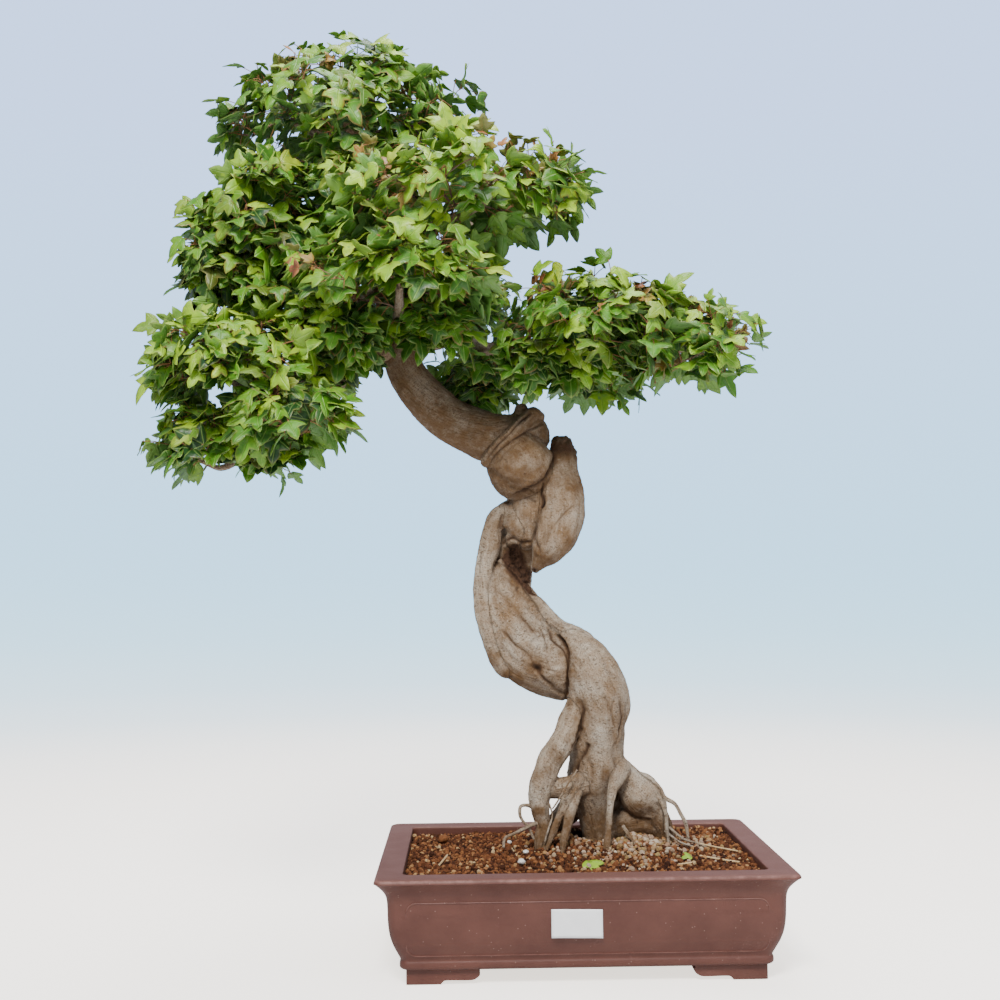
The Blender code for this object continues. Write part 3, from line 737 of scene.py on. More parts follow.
@dataclass(frozen=True)
class Leaf(Finish):
    """Three-lobed leaf: tones from deep to yellow green, lighter high on each cloud as painted light, pale
    veins and edge, bronze when young.
    """

    deep: Colour = (.008, .046, .004)
    green: Colour = (.080, .240, .009)
    fresh: Colour = (.320, .500, .016)
    vein: Colour = (.36, .52, .12)
    margin: Colour = (.46, .47, .10)
    scorched: Colour = (.20, .085, .030)
    bronze: Colour = (.34, .090, .040)
    under: Colour = (.110, .235, .050)

    def veins(self, graph: Graph) -> Socket:
        """Draws the midrib and a vein to each side lobe, from places on the blade's own map.

        Args:
            graph: The material's graph.

        Returns:
            Where the veins are.
        """
        spot = graph.parts(graph.node("UVMap", uv_map="blade").outputs["UV"])
        side = graph.sum("ABSOLUTE", graph.sum("SUBTRACT", spot["X"], 0.6), 0.0)
        off_lobe = graph.sum("SUBTRACT", graph.times(side, 0.593), graph.times(spot["Y"], 0.805))
        lobe = graph.stretch(graph.sum("ABSOLUTE", off_lobe, 0.0), 0.006, 0.026, 1.0, 0.0)
        return graph.sum("MAXIMUM", graph.stretch(side, 0.006, 0.030, 1.0, 0.0), lobe)

    def paint(self, graph: Graph) -> Socket:
        """Wires the leaf.

        Args:
            graph: The material's graph.

        Returns:
            The shader.
        """
        vein = self.veins(graph)
        drift = graph.stretch(graph.noise(graph.place, 60.0, 2.0), 0.3, 0.7, -0.12, 0.12)
        # The tone holds painted light: leaves high on their cloud are lighter.
        tone = graph.sum("ADD", graph.value_of("tone"), drift, clamp=True)
        cloud = graph.mottle(240.0, 1.6, (0.78, 0.80, 0.7), (1.12, 1.10, 1.1))
        green = graph.ramp(tone, self.deep, self.green, self.fresh, middle=0.45)
        edge = graph.value_of("edge")
        burnt = graph.times(graph.stretch(edge, 0.55, 1.0), graph.value_of("scorch"))
        colour = graph.coats(
            graph.blend(1.0, green, cloud["Color"], "MULTIPLY"),
            (graph.value_of("young"), 1.0, self.bronze),
            (vein, 0.30, self.vein),
            (graph.stretch(edge, 0.80, 1.0), 0.28, self.margin),
            (burnt, 0.85, self.scorched),
            (graph.value_of("below"), 0.62, self.under))
        rough = graph.stretch(cloud["Mask"], 0.0, 1.0, 0.36, 0.52)
        ribs = graph.sum("SUBTRACT", graph.noise(graph.place, 520.0, 2.0), graph.times(vein, 1.4))
        return graph.surface(colour, rough, ribs, 0.00035, Specular_IOR_Level=0.45)


@dataclass(frozen=True)
class Plain(Finish):
    """A mottled surface of two near colours, for the soil bed, label, straw, wire and screens."""

    dark: Colour
    light: Colour
    scale: float
    rough: tuple[float, float]
    bump: float
    metallic: float = 0.0
    contrast: float = 1.8
    finer: float = 4.0
    fine: float = 0.4
    specular: float = 0.5

    def tint(self, graph: Graph, colour: Socket) -> Socket:
        """Changes the mottled colour, here not at all."""
        return colour

    def paint(self, graph: Graph) -> Socket:
        """Wires the surface.

        Args:
            graph: The material's graph.

        Returns:
            The shader.
        """
        body = graph.mottle(self.scale, self.contrast, self.dark, self.light)
        rough = graph.stretch(body["Mask"], 0.0, 1.0, *self.rough)
        grain = graph.grain(graph.place, self.scale * self.finer, self.fine)
        return graph.surface(self.tint(graph, body["Color"]), rough, grain, self.bump, Metallic=self.metallic,
                             Specular_IOR_Level=self.specular)


@dataclass(frozen=True)
class Twig(Plain):
    """Brown twigs that turn to reddish green leaf stalks with youth."""

    stalk: Colour = (.33, .150, .060)

    def tint(self, graph: Graph, colour: Socket) -> Socket:
        """Turns the youngest wood to the stalks' colour."""
        return graph.blend(graph.value_of("youth"), colour, self.stalk)


@dataclass(frozen=True)
class Grit(Plain):
    """Loose grains: each takes its own tint from a ramp, under a porous skin."""

    tints: tuple[Colour, ...] = ()

    def tint(self, graph: Graph, colour: Socket) -> Socket:
        """Gives each grain its own colour."""
        return graph.blend(1.0, graph.ramp(graph.value_of("tint"), *self.tints), colour, "MULTIPLY")


def grit(name: str, *tints: Colour) -> Grit:
    """Describes loose grains whose tints run through some colours."""
    return Grit(name, (0.62, 0.60, 0.60), (1.20, 1.18, 1.15), 900.0, (0.97, 0.86), 0.0005, contrast=2.2,
                finer=1.6, fine=0.6, specular=0.15, tints=tints)


@dataclass(frozen=True)
class Backdrop(Finish):
    """Matte pale floor that turns into a softly glowing light blue wall away from the pot."""

    cream: Colour = (.88, .85, .80)
    milk: Colour = (.91, .89, .86)
    wall: Colour = (.02, .02, .02)
    glow_low: Colour = (.90, 1.75, 2.35)
    glow_high: Colour = (1.05, 1.50, 2.40)
    wall_glow: Colour = (.42, .46, .54)
    floor_glow: Colour = (1.9, 1.75, 1.55)

    def paint(self, graph: Graph) -> Socket:
        """Wires the floor and the wall, which shine more for the camera than on the tree.

        Args:
            graph: The material's graph.

        Returns:
            The shader.
        """
        spot = graph.parts(graph.place)
        flat = graph.vector("MULTIPLY", graph.place, (1.0, 1.0, 0.0))
        away = graph.vector("LENGTH", flat, output="Value")
        far = graph.stretch(away, 1.1, 4.2, ease="SMOOTHSTEP")
        glow = graph.ramp(graph.stretch(spot["Z"], 0.0, 2.6), self.glow_low, self.glow_high)
        body = graph.mottle(1.4, 1.2, self.cream, self.milk)
        colour = graph.blend(far, body["Color"], self.wall)
        shown = graph.node("LightPath").outputs["Is Camera Ray"]
        seen = graph.blend(far, graph.blend(shown, (0.0, 0.0, 0.0), self.floor_glow),
                           graph.blend(shown, self.wall_glow, glow))
        rough = graph.stretch(body["Mask"], 0.0, 1.0, 0.7, 0.6)
        grain = graph.grain(graph.place, 60.0, 0.3)
        return graph.surface(colour, rough, grain, 0.0002, Emission_Color=seen, Emission_Strength=1.0)


# ---- pot


def rounded_ring(half_x: float, half_y: float, corner: float, height: float, steps: int = 8) -> Points:
    """Draws a rounded rectangle at one height, anticlockwise from above.

    Args:
        half_x: Half of its length.
        half_y: Half of its depth.
        corner: Radius of its corners.
        height: Its height.
        steps: Faces in each corner.

    Returns:
        Its points.
    """
    points = []
    for quarter, (sx, sy) in enumerate(((1, 1), (-1, 1), (-1, -1), (1, -1))):
        for step in range(steps + 1):
            turn = math.radians(90 * (quarter + step / steps))
            points.append((sx * (half_x - corner) + corner * math.cos(turn),
                           sy * (half_y - corner) + corner * math.sin(turn), height))
    return np.array(points)


@dataclass
class Pot:
    """Low rectangular pot with a rolled lip, a faint line panel on each face and cloud-cut feet."""

    clay: Material
    lip_height: float = 0.1040
    lip_round: float = 0.0045
    inner_round: float = 0.0020
    lip_width: float = 0.0274
    foot_height: float = 0.0145
    foot_inset: float = 0.0305
    foot_depth: float = 0.020
    foot_long: float = 0.073
    foot_short: float = 0.055
    foot_flat: float = 0.034
    foot_step: float = 0.004
    corner: float = 0.009
    drain_radius: float = 0.016
    drain_x: float = 0.105
    panel_low: float = 0.030
    panel_high: float = 0.0835
    panel_margin: float = 0.019
    panel_corner: float = 0.010
    bead: float = 0.00075
    outer: tuple[tuple[float, float], ...] = (
        (0.0300, 0.0145), (0.0262, 0.0158), (0.0241, 0.0182), (0.0241, 0.0225), (0.0249, 0.0248),
        (0.0235, 0.0285), (0.0180, 0.0405), (0.0146, 0.0520), (0.0131, 0.0650), (0.0127, 0.0780),
        (0.0121, 0.0860), (0.0103, 0.0920), (0.0065, 0.0975), (0.0016, 0.1028), (0.0000, 0.1040))
    inner: tuple[tuple[float, float], ...] = (
        (0.0274, 0.1065), (0.0274, 0.0940), (0.0255, 0.0880), (0.0245, 0.0820), (0.0245, 0.0460),
        (0.0275, 0.0340), (0.0350, 0.0265), (0.0460, 0.0245))

    def __post_init__(self) -> None:
        """Takes the pot's length, depth and height from the model."""
        low, high = node_box("pot")
        self.half_x = (high[0] - low[0]) / 2
        self.half_y = (high[1] - low[1]) / 2
        self.height = high[2]

    def profile(self) -> list[Triple]:
        """Returns the section from the base up the outside, over the lip and down to the floor:
        inset, height and how much the edge is rubbed pale."""
        section = [(inset, z, 0.0) for inset, z in through(self.outer, 3)]
        for turn in range(15, 91, 15):
            lift = math.radians(turn)
            height = self.lip_height + self.lip_round * math.sin(lift)
            section.append((self.lip_round * (1 - math.cos(lift)), height, math.sin(2 * lift) ** 2))
        section.append((self.lip_width * 0.5, self.height, 0.0))
        for turn in range(0, 91, 15):
            drop = math.radians(turn)
            section.append((self.lip_width - self.inner_round * (1 - math.sin(drop)),
                            self.height - self.inner_round * (1 - math.cos(drop)), math.sin(2 * drop) ** 2))
        return section + [(inset, z, 0.0) for inset, z in through(self.inner, 3)[1:]]

    def basin(self, batch: Batch) -> None:
        """Adds the walls, the lip and the floor.

        Args:
            batch: Where they go.
        """
        section = self.profile()
        rings = np.array([rounded_ring(self.half_x - inset, self.half_y - inset, self.corner, z)
                          for inset, z, _ in section])
        wear = np.repeat([pale_coat for _, _, pale_coat in section], rings.shape[1])
        batch.add(grid_shell(rings), wear=wear)

    def wall_inset(self, height: float) -> float:
        """Returns how far the outer wall stands in from the lip at a height."""
        insets, heights = zip(*self.outer)
        return float(np.interp(height, heights, insets))

    def panel(self, batch: Batch, along_x: bool, side: int) -> None:
        """Adds the raised line round one face, with a painted highlight along it.

        Args:
            batch: Where it goes.
            along_x: Whether the face runs along the pot.
            side: 1 or -1, which of the two faces.
        """
        reach = self.half_x if along_x else self.half_y
        reach -= self.wall_inset(self.panel_high) + self.panel_margin
        middle = (self.panel_low + self.panel_high) / 2
        outline = rounded_ring(reach, (self.panel_high - self.panel_low) / 2, self.panel_corner, 0.0, 6)
        runs = outline[:, 0]
        heights = outline[:, 1] + middle
        outs = np.array([(self.half_y if along_x else self.half_x) - self.wall_inset(z) for z in heights])
        path = np.stack([runs, side * outs, heights] if along_x else [side * outs, runs, heights], axis=1)
        path = np.vstack([path, path[:1]])
        # Painted highlight: the bead's pale share stands for the light line along the panel's edge.
        batch.add(tube(path, np.full(len(path), self.bead), 6), wear=0.35)

    def foot(self, batch: Batch, along_x: bool, sx: int, sy: int) -> None:
        """Adds one leg of a corner foot: a flat sole by the corner, then a cloud-cut step.

        Args:
            batch: Where it goes.
            along_x: Whether the leg runs along the pot.
            sx: Which end of the pot.
            sy: Front or back.
        """
        length = self.foot_long if along_x else self.foot_short
        top = self.foot_height + 0.002
        cut = through([(self.foot_flat, 0.0), (self.foot_flat + 0.0022, self.foot_step * 0.62),
                       (self.foot_flat + 0.0065, self.foot_step), (length - 0.010, self.foot_step * 0.95),
                       (length - 0.0035, self.foot_step * 1.4), (length, self.foot_step * 2.3),
                       (length - 0.001, self.foot_height - 0.0015)], 4)
        sole = ((0.0, top), (0.0, 0.0012), (0.0004, 0.0004), (0.0012, 0.0))
        edge = [*sole, *map(tuple, cut), (length - 0.001, top)]
        ends = []
        for depth, shrink in ((0.0, 0.0010), (0.0009, 0.0), (self.foot_depth, 0.0)):
            ring = []
            for run, z in edge:
                z = max(z, shrink * 0.5) if z < top else z
                start_x = self.half_x - self.foot_inset - (0.0 if along_x else depth)
                start_y = self.half_y - self.foot_inset - (depth if along_x else 0.0)
                place = (start_x - run, start_y) if along_x else (start_x, start_y - run)
                ring.append((sx * place[0], sy * place[1], z))
            ends.append(ring)
        rings = np.array(ends)
        if (sx * sy > 0) == along_x:
            rings = rings[:, ::-1]
        batch.add(grid_shell(rings), wear=0.15)

    def build(self) -> None:
        """Makes the pot and drills its drain holes."""
        batch = Batch()
        self.basin(batch)
        for along_x, side in itertools.product((True, False), (1, -1)):
            self.panel(batch, along_x, side)
        for along_x, sx, sy in itertools.product((True, False), (1, -1), (1, -1)):
            self.foot(batch, along_x, sx, sy)
        pot = batch.build("clay_pot", self.clay)
        drill = Batch()
        for side in (-1, 1):
            path = np.array([(side * self.drain_x, 0.0, z) for z in (0.0, 0.04)])
            drill.add(tube(path, np.full(2, self.drain_radius), 40, reference=BACK), wear=0.0)
        cutter = drill.build("drill", self.clay)
        cut = pot.modifiers.new("drain", "BOOLEAN")
        cut.operation = "DIFFERENCE"
        cut.object = cutter
        cut.solver = "EXACT"
        cut.use_self = True
        settled(pot)
        bpy.data.objects.remove(cutter)
        pot.data.set_sharp_from_angle(angle=math.radians(38))
        install(pot, "clay", "pot")


# ---- soil and what lies on it


def lump_template() -> Shell:
    """Returns a cube rounded into a lump with 24 faces."""
    lattice = [p for p in itertools.product((-1, 0, 1), repeat=3) if any(p)]
    index = {p: k for k, p in enumerate(lattice)}
    corners = []
    for axis, sign in itertools.product(range(3), (-1, 1)):
        first, second = [a for a in range(3) if a != axis]
        for u, v in itertools.product((-1, 0), repeat=2):
            quad = []
            for du, dv in ((0, 0), (1, 0), (1, 1), (0, 1)):
                spot = [0, 0, 0]
                spot[axis] = sign
                spot[first] = u + du
                spot[second] = v + dv
                quad.append(index[tuple(spot)])
            flip = (sign > 0) == (axis == 1)
            corners += quad[::-1] if flip else quad
    return Shell(unit(np.array(lattice, float)), np.array(corners), np.full(len(corners) // 4, 4))


def lumps(places: Points, radii: Points, tint: Points, rough: float, rng: Random) -> Batch:
    """Shapes and places uneven grains.

    Args:
        places: Their middles.
        radii: Their mean radii.
        tint: Their places on the colour ramp.
        rough: How uneven they are.
        rng: Source of the unevenness.

    Returns:
        The grains.
    """
    template = lump_template()
    count = len(places)
    bumpy = template.points[None] * (1 + rng.normal(0, rough, (count, len(template.points), 1)))
    bumpy = bumpy * rng.uniform(0.72, 1.25, (count, 1, 3))
    turn, tip = rng.uniform(0, 2 * math.pi, (2, count))
    tip = tip * 0.5
    c, s, ct, st = np.cos(turn), np.sin(turn), np.cos(tip), np.sin(tip)
    x = bumpy[..., 0] * c[:, None] - bumpy[..., 1] * s[:, None]
    y = bumpy[..., 0] * s[:, None] + bumpy[..., 1] * c[:, None]
    z = bumpy[..., 2]
    y, z = y * ct[:, None] - z * st[:, None], y * st[:, None] + z * ct[:, None]
    placed = places[:, None] + np.stack([x, y, z], axis=-1) * radii[:, None, None]
    batch = Batch()
    batch.add_copies(placed, template, tint=tint)
    return batch


@dataclass
class SoilBed:
    """Baked clay grains over the soil, with pale pumice and grit about the trunk's foot."""

    finishes: dict[str, Material]
    rng: Random
    pitch: float = 0.0031
    sheets: int = 3
    pumice_count: int = 1150
    edge: float = 0.0022

    def __post_init__(self) -> None:
        """Reads the soil's own top surface."""
        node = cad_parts["soil"]
        verts = [v.co for v in node.data.vertices]
        faces = [tuple(p.vertices) for p in node.data.polygons]
        self.tree = BVHTree.FromPolygons(verts, faces)
        self.low, self.high = node_box("soil")

    def height(self, x: float, y: float) -> float | None:
        """Finds the soil's height."""
        start = Vector((x + CENTRE[0], y + CENTRE[1], CENTRE[2] + self.high[2] + 0.05))
        hit = self.tree.ray_cast(start, Vector((0, 0, -1)), 0.2)[0]
        return None if hit is None else hit.z - CENTRE[2]

    def grounded(self, plan: Points) -> tuple[Points, Points]:
        """Sets places on the soil."""
        heights = [self.height(x, y) for x, y in plan]
        kept = np.array([k for k, z in enumerate(heights) if z is not None])
        return np.array([(*plan[k], heights[k]) for k in kept]), kept

    def scatter(self) -> None:
        """Lays the baked clay grains over the whole bed, in several pieces."""
        rng = self.rng
        low = self.low[:2] + self.edge
        high = self.high[:2] - self.edge
        xs = np.arange(low[0], high[0], self.pitch)
        ys = np.arange(low[1], high[1], self.pitch)
        plan = np.stack(np.meshgrid(xs, ys), axis=-1).reshape(-1, 2)
        plan = np.clip(plan + rng.uniform(-0.5, 0.5, plan.shape) * self.pitch * 1.1, low, high)
        places, _ = self.grounded(plan)
        radii = np.clip(rng.lognormal(math.log(0.00165), 0.28, len(places)), 0.0009, 0.0033)
        places[:, 2] += radii * rng.uniform(-0.25, 0.95, len(places))
        tint = np.clip(rng.beta(1.7, 3.4, len(places)) + (rng.random(len(places)) < 0.05) * 0.45, 0, 1)
        for sheet, share in enumerate(np.array_split(rng.permutation(len(places)), self.sheets)):
            batch = lumps(places[share], radii[share], tint[share], 0.09, rng)
            piece = batch.build(f"soil_grains_{sheet + 1}", self.finishes["clay_grains"], smooth=False)
            install(piece, "soil")

    def dress(self) -> None:
        """Scatters pumice and grit, dense before the trunk and thinner outwards."""
        rng = self.rng
        low, high = node_box("top_dressing")
        middle = (low + high)[:2] / 2
        reach = (high - low)[:2] / 2
        turn = rng.uniform(0, 2 * math.pi, self.pumice_count)
        out = np.abs(rng.normal(0, 0.62, self.pumice_count))
        plan = middle + (0.012, -0.006) + np.stack([np.cos(turn), np.sin(turn)], 1) * (out[:, None] * reach)
        limit_low, limit_high = self.low[:2] + 0.004, self.high[:2] - 0.004
        plan = np.clip(plan, limit_low, limit_high)
        places, _ = self.grounded(plan)
        radii = np.clip(rng.lognormal(math.log(0.0019), 0.26, len(places)), 0.0011, 0.0035)
        places[:, 2] += 0.0014 + radii * rng.uniform(0.1, 0.9, len(places))
        batch = lumps(places, radii, rng.random(len(places)), 0.085, rng)
        dressing = batch.build("pumice_dressing", self.finishes["pumice"], smooth=False)
        install(dressing, "pumice", "top_dressing")

    def build(self) -> None:
        """Dresses the soil and lays the grains."""
        dress_node("soil", self.finishes["soil_bed"])
        self.scatter()
        self.dress()


def dress_node(node: str, material: Material) -> None:
    """Gives a CAD node that stays its finish.

    Args:
        node: The CAD node's name.
        material: The finish.
    """
    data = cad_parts[node].data
    data.materials.clear()
    data.materials.append(material)
    LOG.info("%s: kept, with finish %s", node, material.name)


@dataclass
class Litter:
    """The label on the pot and the small things on the soil."""

    finishes: dict[str, Material]
    label_columns: int = 16
    label_rows: int = 10
    label_lift: float = 0.0007
    stone_sides: int = 18
    stone_rings: int = 10

    def label(self) -> None:
        """Makes the blank label, a thin sheet whose corners lift a little off the wall."""
        low, high = node_box("label")
        tall = np.linspace(low[2], high[2], self.label_rows)
        wide = np.linspace(low[0], high[0], self.label_columns)
        z, x = np.meshgrid(tall, wide, indexing="ij")
        u = (x - x.mean()) / np.ptp(x) * 2
        v = (z - z.mean()) / np.ptp(z) * 2
        z = z + math.radians(1.0) * -(x - x.mean())
        lift = self.label_lift * np.abs(u) ** 6 * np.abs(v) ** 4
        front = np.stack([x, low[1] - lift, z], axis=-1)
        back = front + (0.0, high[1] - low[1], 0.0)
        batch = Batch()
        batch.add(grid_shell(np.concatenate([front, back[:, ::-1]], axis=1)))
        install(batch.build("blank_label", self.finishes["label_paper"]), "paper", "label")

    def lump(self, node: str, name: str, finish: str, slot: str, seed: int) -> None:
        """Rounds a finer stone into a CAD stone's box.

        Args:
            node: The CAD node.
            name: The new piece's name.
            finish: Its finish.
            slot: Its slot.
            seed: Seed of its unevenness.
        """
        low, high = node_box(node)
        turn = full_turn(self.stone_sides)[None]
        rise = np.linspace(-math.pi / 2 + 0.12, math.pi / 2 - 0.12, self.stone_rings)[:, None]
        across = np.cos(rise)
        ball = np.stack([across * np.cos(turn), across * np.sin(turn), np.sin(rise) + 0 * turn], axis=-1)
        noise = Noise(seed)
        bumps = noise.layered(ball.reshape(-1, 3) * 1.7 + 7.0, 3).reshape(ball.shape[:2])
        ball = ball * (0.92 + 0.20 * bumps)[..., None]
        rings = (low + high) / 2 + ball * (high - low) / 2
        batch = Batch()
        batch.add(grid_shell(rings), tint=float(0.3 + 0.1 * (seed % 5)))
        install(batch.build(name, self.finishes[finish]), slot, node)

    def loose_leaf(self, node: str, name: str, turn: float, tone: float) -> None:
        """Lays a real leaf in a CAD leaf's box.

        Args:
            node: The CAD node.
            name: The new piece's name.
            turn: Its turn about the vertical, in degrees.
            tone: Its colour, 0 deep to 1 fresh.
        """
        low, high = node_box(node)
        middle = (low + high) / 2
        a = math.radians(turn)
        tip = np.array([(-math.sin(a), math.cos(a), 0.10)])
        face = np.array([(0.12, -0.38, 0.90)])
        length = float(np.max((high - low)[:2])) * 0.92
        batch = Batch()
        start = np.array([(middle[0], middle[1], high[2] + 0.0035)]) - unit(tip) * length * 0.5
        add_leaves(batch, LeafPlan(start, tip, face, np.array([length]), np.array([tone]), np.zeros(1),
                                   np.array([0.1]), np.array([[0.20, 0.15, 0.10, 1.0]])))
        install(batch.build(name, self.finishes["leaf"]), "leaf", node)

    def build(self) -> None:
        """Makes everything here."""
        self.label()
        for k in (1, 2, 3):
            self.lump(f"white_stone_{k}", f"white_grit_{k}", "white_grit", "pumice", 40 + k)
        self.lump("clay_grain", "large_clay_grain", "clay_grains", "soil", 47)
        self.loose_leaf("fallen_leaf", "fallen_maple_leaf", 205.0, 0.95)
        self.loose_leaf("small_leaf", "small_maple_leaf", 120.0, 0.85)
        for k in range(1, 6):
            dress_node(f"straw_{k}", self.finishes["straw"])
        for side in ("left", "right"):
            dress_node(f"drain_screen_{side}", self.finishes["screen_plastic"])
            dress_node(f"screen_clip_{side}", self.finishes["clip_wire"])


# ---- leaves

# Half outline of the blade from the stalk round the side lobe to the tip, in leaf lengths
HALF_BLADE = ((0.14, -0.03), (0.34, 0.08), (0.50, 0.24), (0.57, 0.42), (0.40, 0.44), (0.21, 0.46),
              (0.24, 0.60), (0.19, 0.77), (0.09, 0.91))
MIDRIB = ((0.0, 0.0), (0.0, 0.25), (0.0, 0.48), (0.0, 0.74), (0.0, 1.0))
SIDE_VEIN = ((0.20, 0.15), (0.38, 0.29))
BLADE_THICKNESS = 0.00035
EDGE_ROOM = 0.018     # kept free of twig tips inside the model's box


def blade_template() -> tuple[Points, list[tuple[int, ...]], list[int]]:
    """Builds the flat blade.

    Returns:
        Its points in leaf lengths, its faces, and the points of its rim in order.
    """
    points = list(MIDRIB)
    halves = []
    for side in (1, -1):
        first = len(points)
        points += [(side * x, y) for x, y in (*HALF_BLADE, *SIDE_VEIN)]
        halves.append(first)
    stalk, low, mid, high, tip = range(len(MIDRIB))
    faces: list[tuple[int, ...]] = []
    for side, first in zip((1, -1), halves):
        p = [first + k for k in range(len(HALF_BLADE))]
        inner, outer = first + len(HALF_BLADE), first + len(HALF_BLADE) + 1
        half = [(stalk, p[0], inner, low), (p[0], p[1], inner), (p[1], p[2], outer, inner),
                (p[2], p[3], outer), (p[3], p[4], outer), (outer, p[4], p[5], inner), (inner, p[5], mid, low),
                (p[5], p[6], high, mid), (p[6], p[7], high), (p[7], p[8], tip, high)]
        faces += half if side > 0 else [face[::-1] for face in half]
    right, left = halves
    count = len(HALF_BLADE)
    rim = [stalk, *range(right, right + count), tip, *range(left + count - 1, left - 1, -1)]
    return np.array(points), faces, rim


@dataclass
class LeafPlan:
    """Where leaves sit and how each one looks; one row for each leaf."""

    bases: Points
    tips: Points
    faces: Points
    lengths: Points
    tones: Points
    young: Points
    scorch: Points
    shapes: Points


def add_leaves(batch: Batch, plan: LeafPlan) -> None:
    """Adds leaves as thin closed blades, folded, curled and waved, each with its own map cells.

    Args:
        batch: Where they go.
        plan: The leaves.
    """
    flat, faces, rim = blade_template()
    count, each = len(plan.bases), len(flat)
    x, y = flat[:, 0][None], flat[:, 1][None]
    fold, curl, droop, phase = plan.shapes.T[:, :, None]
    lift = fold * np.abs(x) - curl * y**2 - droop * x**2 + 0.022 * np.sin(11 * x + 7 * y + 6.3 * phase)
    normal = unit(plan.faces)
    along = unit(plan.tips - np.sum(plan.tips * normal, axis=1, keepdims=True) * normal)
    side = np.cross(along, normal)
    local = x[..., None] * side[:, None] + y[..., None] * along[:, None] + lift[..., None] * normal[:, None]
    top = plan.bases[:, None] + local * plan.lengths[:, None, None]
    under = top - normal[:, None] * BLADE_THICKNESS
    points = np.concatenate([top, under], axis=1)
    closed = [*faces, *(tuple(k + each for k in face[::-1]) for face in faces)]
    closed += [(a + each, b + each, b, a) for a, b in zip(rim, rim[1:] + rim[:1])]
    corners = np.array([k for face in closed for k in face])
    sizes = np.array([len(face) for face in closed])
    blade = np.stack([flat[:, 0] + 0.6, flat[:, 1]], axis=1)[corners % each]
    cells = math.ceil(math.sqrt(2 * count))
    inside = (np.array([0.05, 0.05]) + blade * (0.75, 0.85) + (0.0, 0.03)) / cells
    is_under = np.zeros(len(corners), bool)
    upper_corners = sum(len(face) for face in faces)
    is_under[upper_corners:2 * upper_corners] = True
    number = np.arange(count)[:, None] + np.where(is_under, count, 0)[None]
    origin = np.stack([number % cells, number // cells], axis=-1) / cells
    edge = np.zeros(each)
    edge[rim] = 1.0
    edge[0] = 0.3
    maps = {"blade": np.broadcast_to(blade, (count, *blade.shape)), "OFBake": origin + inside[None]}
    batch.add_copies(points, Shell(flat, corners, sizes), maps,
                     tone=plan.tones, young=plan.young, scorch=plan.scorch,
                     edge=np.tile(edge, (count, 2)),
                     below=np.tile(np.repeat([0.0, 1.0], each), (count, 1)))


@dataclass(frozen=True)
class Pad:
    """One cloud of foliage, named as its CAD canopy; its size comes from the canopy's box."""

    node: str
    shoots: int
    young: float = 0.05
    tone: float = 0.48
    drop: float = 0.10
    spread: float = 1.0
    raised: float = 0.018
    shift: Triple = (0.0, 0.0, 0.0)
    top: float = 0.86
    leaf_room: float = 0.022

    @property
    def name(self) -> str:
        """Names its pieces."""
        return self.node.replace("_leaves", "")

    @property
    def nodes(self) -> tuple[str, ...]:
        """Lists the CAD nodes that its pieces stand for."""
        return (self.node,)

    def box(self) -> tuple[Points, Points]:
        """Returns its canopy's box."""
        return node_box(self.node)

    def tips(self, rng: Random) -> tuple[Points, Points, Points]:
        """Spreads shoot tips over the dome and through its inside.

        Args:
            rng: Source of the spread.

        Returns:
            Tips, outward directions, and how high each is on the dome.
        """
        low, high = self.box()
        middle = (low + high) / 2 + self.shift
        reach = (high - low)[:2] / 2 * self.spread - self.leaf_room
        rise = (high - low)[2] - self.leaf_room
        number = np.arange(self.shoots) + 0.5
        climb = 1 - number / self.shoots * 1.22
        turn = number * math.pi * (3 - math.sqrt(5)) + rng.normal(0, 0.22, self.shoots)
        flat = np.sqrt(np.clip(1 - climb**2, 0, 1))
        ball = np.stack([flat * np.cos(turn), flat * np.sin(turn), climb], axis=1)
        depth = np.where(rng.random(self.shoots) < 0.24, rng.uniform(0.40, 0.78, self.shoots),
                         rng.uniform(0.84, 1.0, self.shoots))
        depth += np.where(rng.random(self.shoots) < 0.07, 0.16, 0.0)
        base = np.array((*middle[:2], low[2] + rise * 0.12 + self.raised + self.shift[2]))
        places = base + ball * depth[:, None] * (*reach, rise * self.top - self.raised * 0.5)
        places += rng.normal(0, 0.009, places.shape)
        places = np.clip(places, np.array(CAD_LOW) - CENTRE + EDGE_ROOM,
                         np.array(CAD_HIGH) - CENTRE - EDGE_ROOM)
        return places, unit(ball * (1.0, 1.0, 0.9) + (0, 0, 0.12)), climb


@dataclass(frozen=True)
class Filler:
    """A loose handful of foliage between the clouds: centre, half sizes and what its leaves are like."""

    name: str
    shoots: int
    centre: Triple
    reach: Triple
    tone: float = 0.36
    young: float = 0.02
    drop: float = 0.20
    nodes: tuple[str, ...] = ()

    def box(self) -> tuple[Points, Points]:
        """Returns a box a little wider than the handful."""
        reach = np.array(self.reach) * 1.3
        return self.centre - reach, self.centre + reach

    def tips(self, rng: Random) -> tuple[Points, Points, Points]:
        """Spreads shoot tips through the handful, as Pad.tips does."""
        ball = unit(rng.normal(0, 1, (self.shoots, 3))) * rng.uniform(0.35, 1.0, (self.shoots, 1))
        outward = unit(ball * (0.8, 0.5, 0.6) + (0.0, -0.7, 0.1))
        return np.array(self.centre) + ball * self.reach, outward, ball[:, 2] * 0.6


@dataclass
class Shoot:
    """One leafy shoot of a cloud: its own way, the way out of the cloud, its height on the dome from
    -1 to 1, whether it is young, 0 or 1, and the source of its variation."""

    pad: Pad | Filler
    heading: Points
    outward: Points
    climb: float
    young: float
    rng: Random


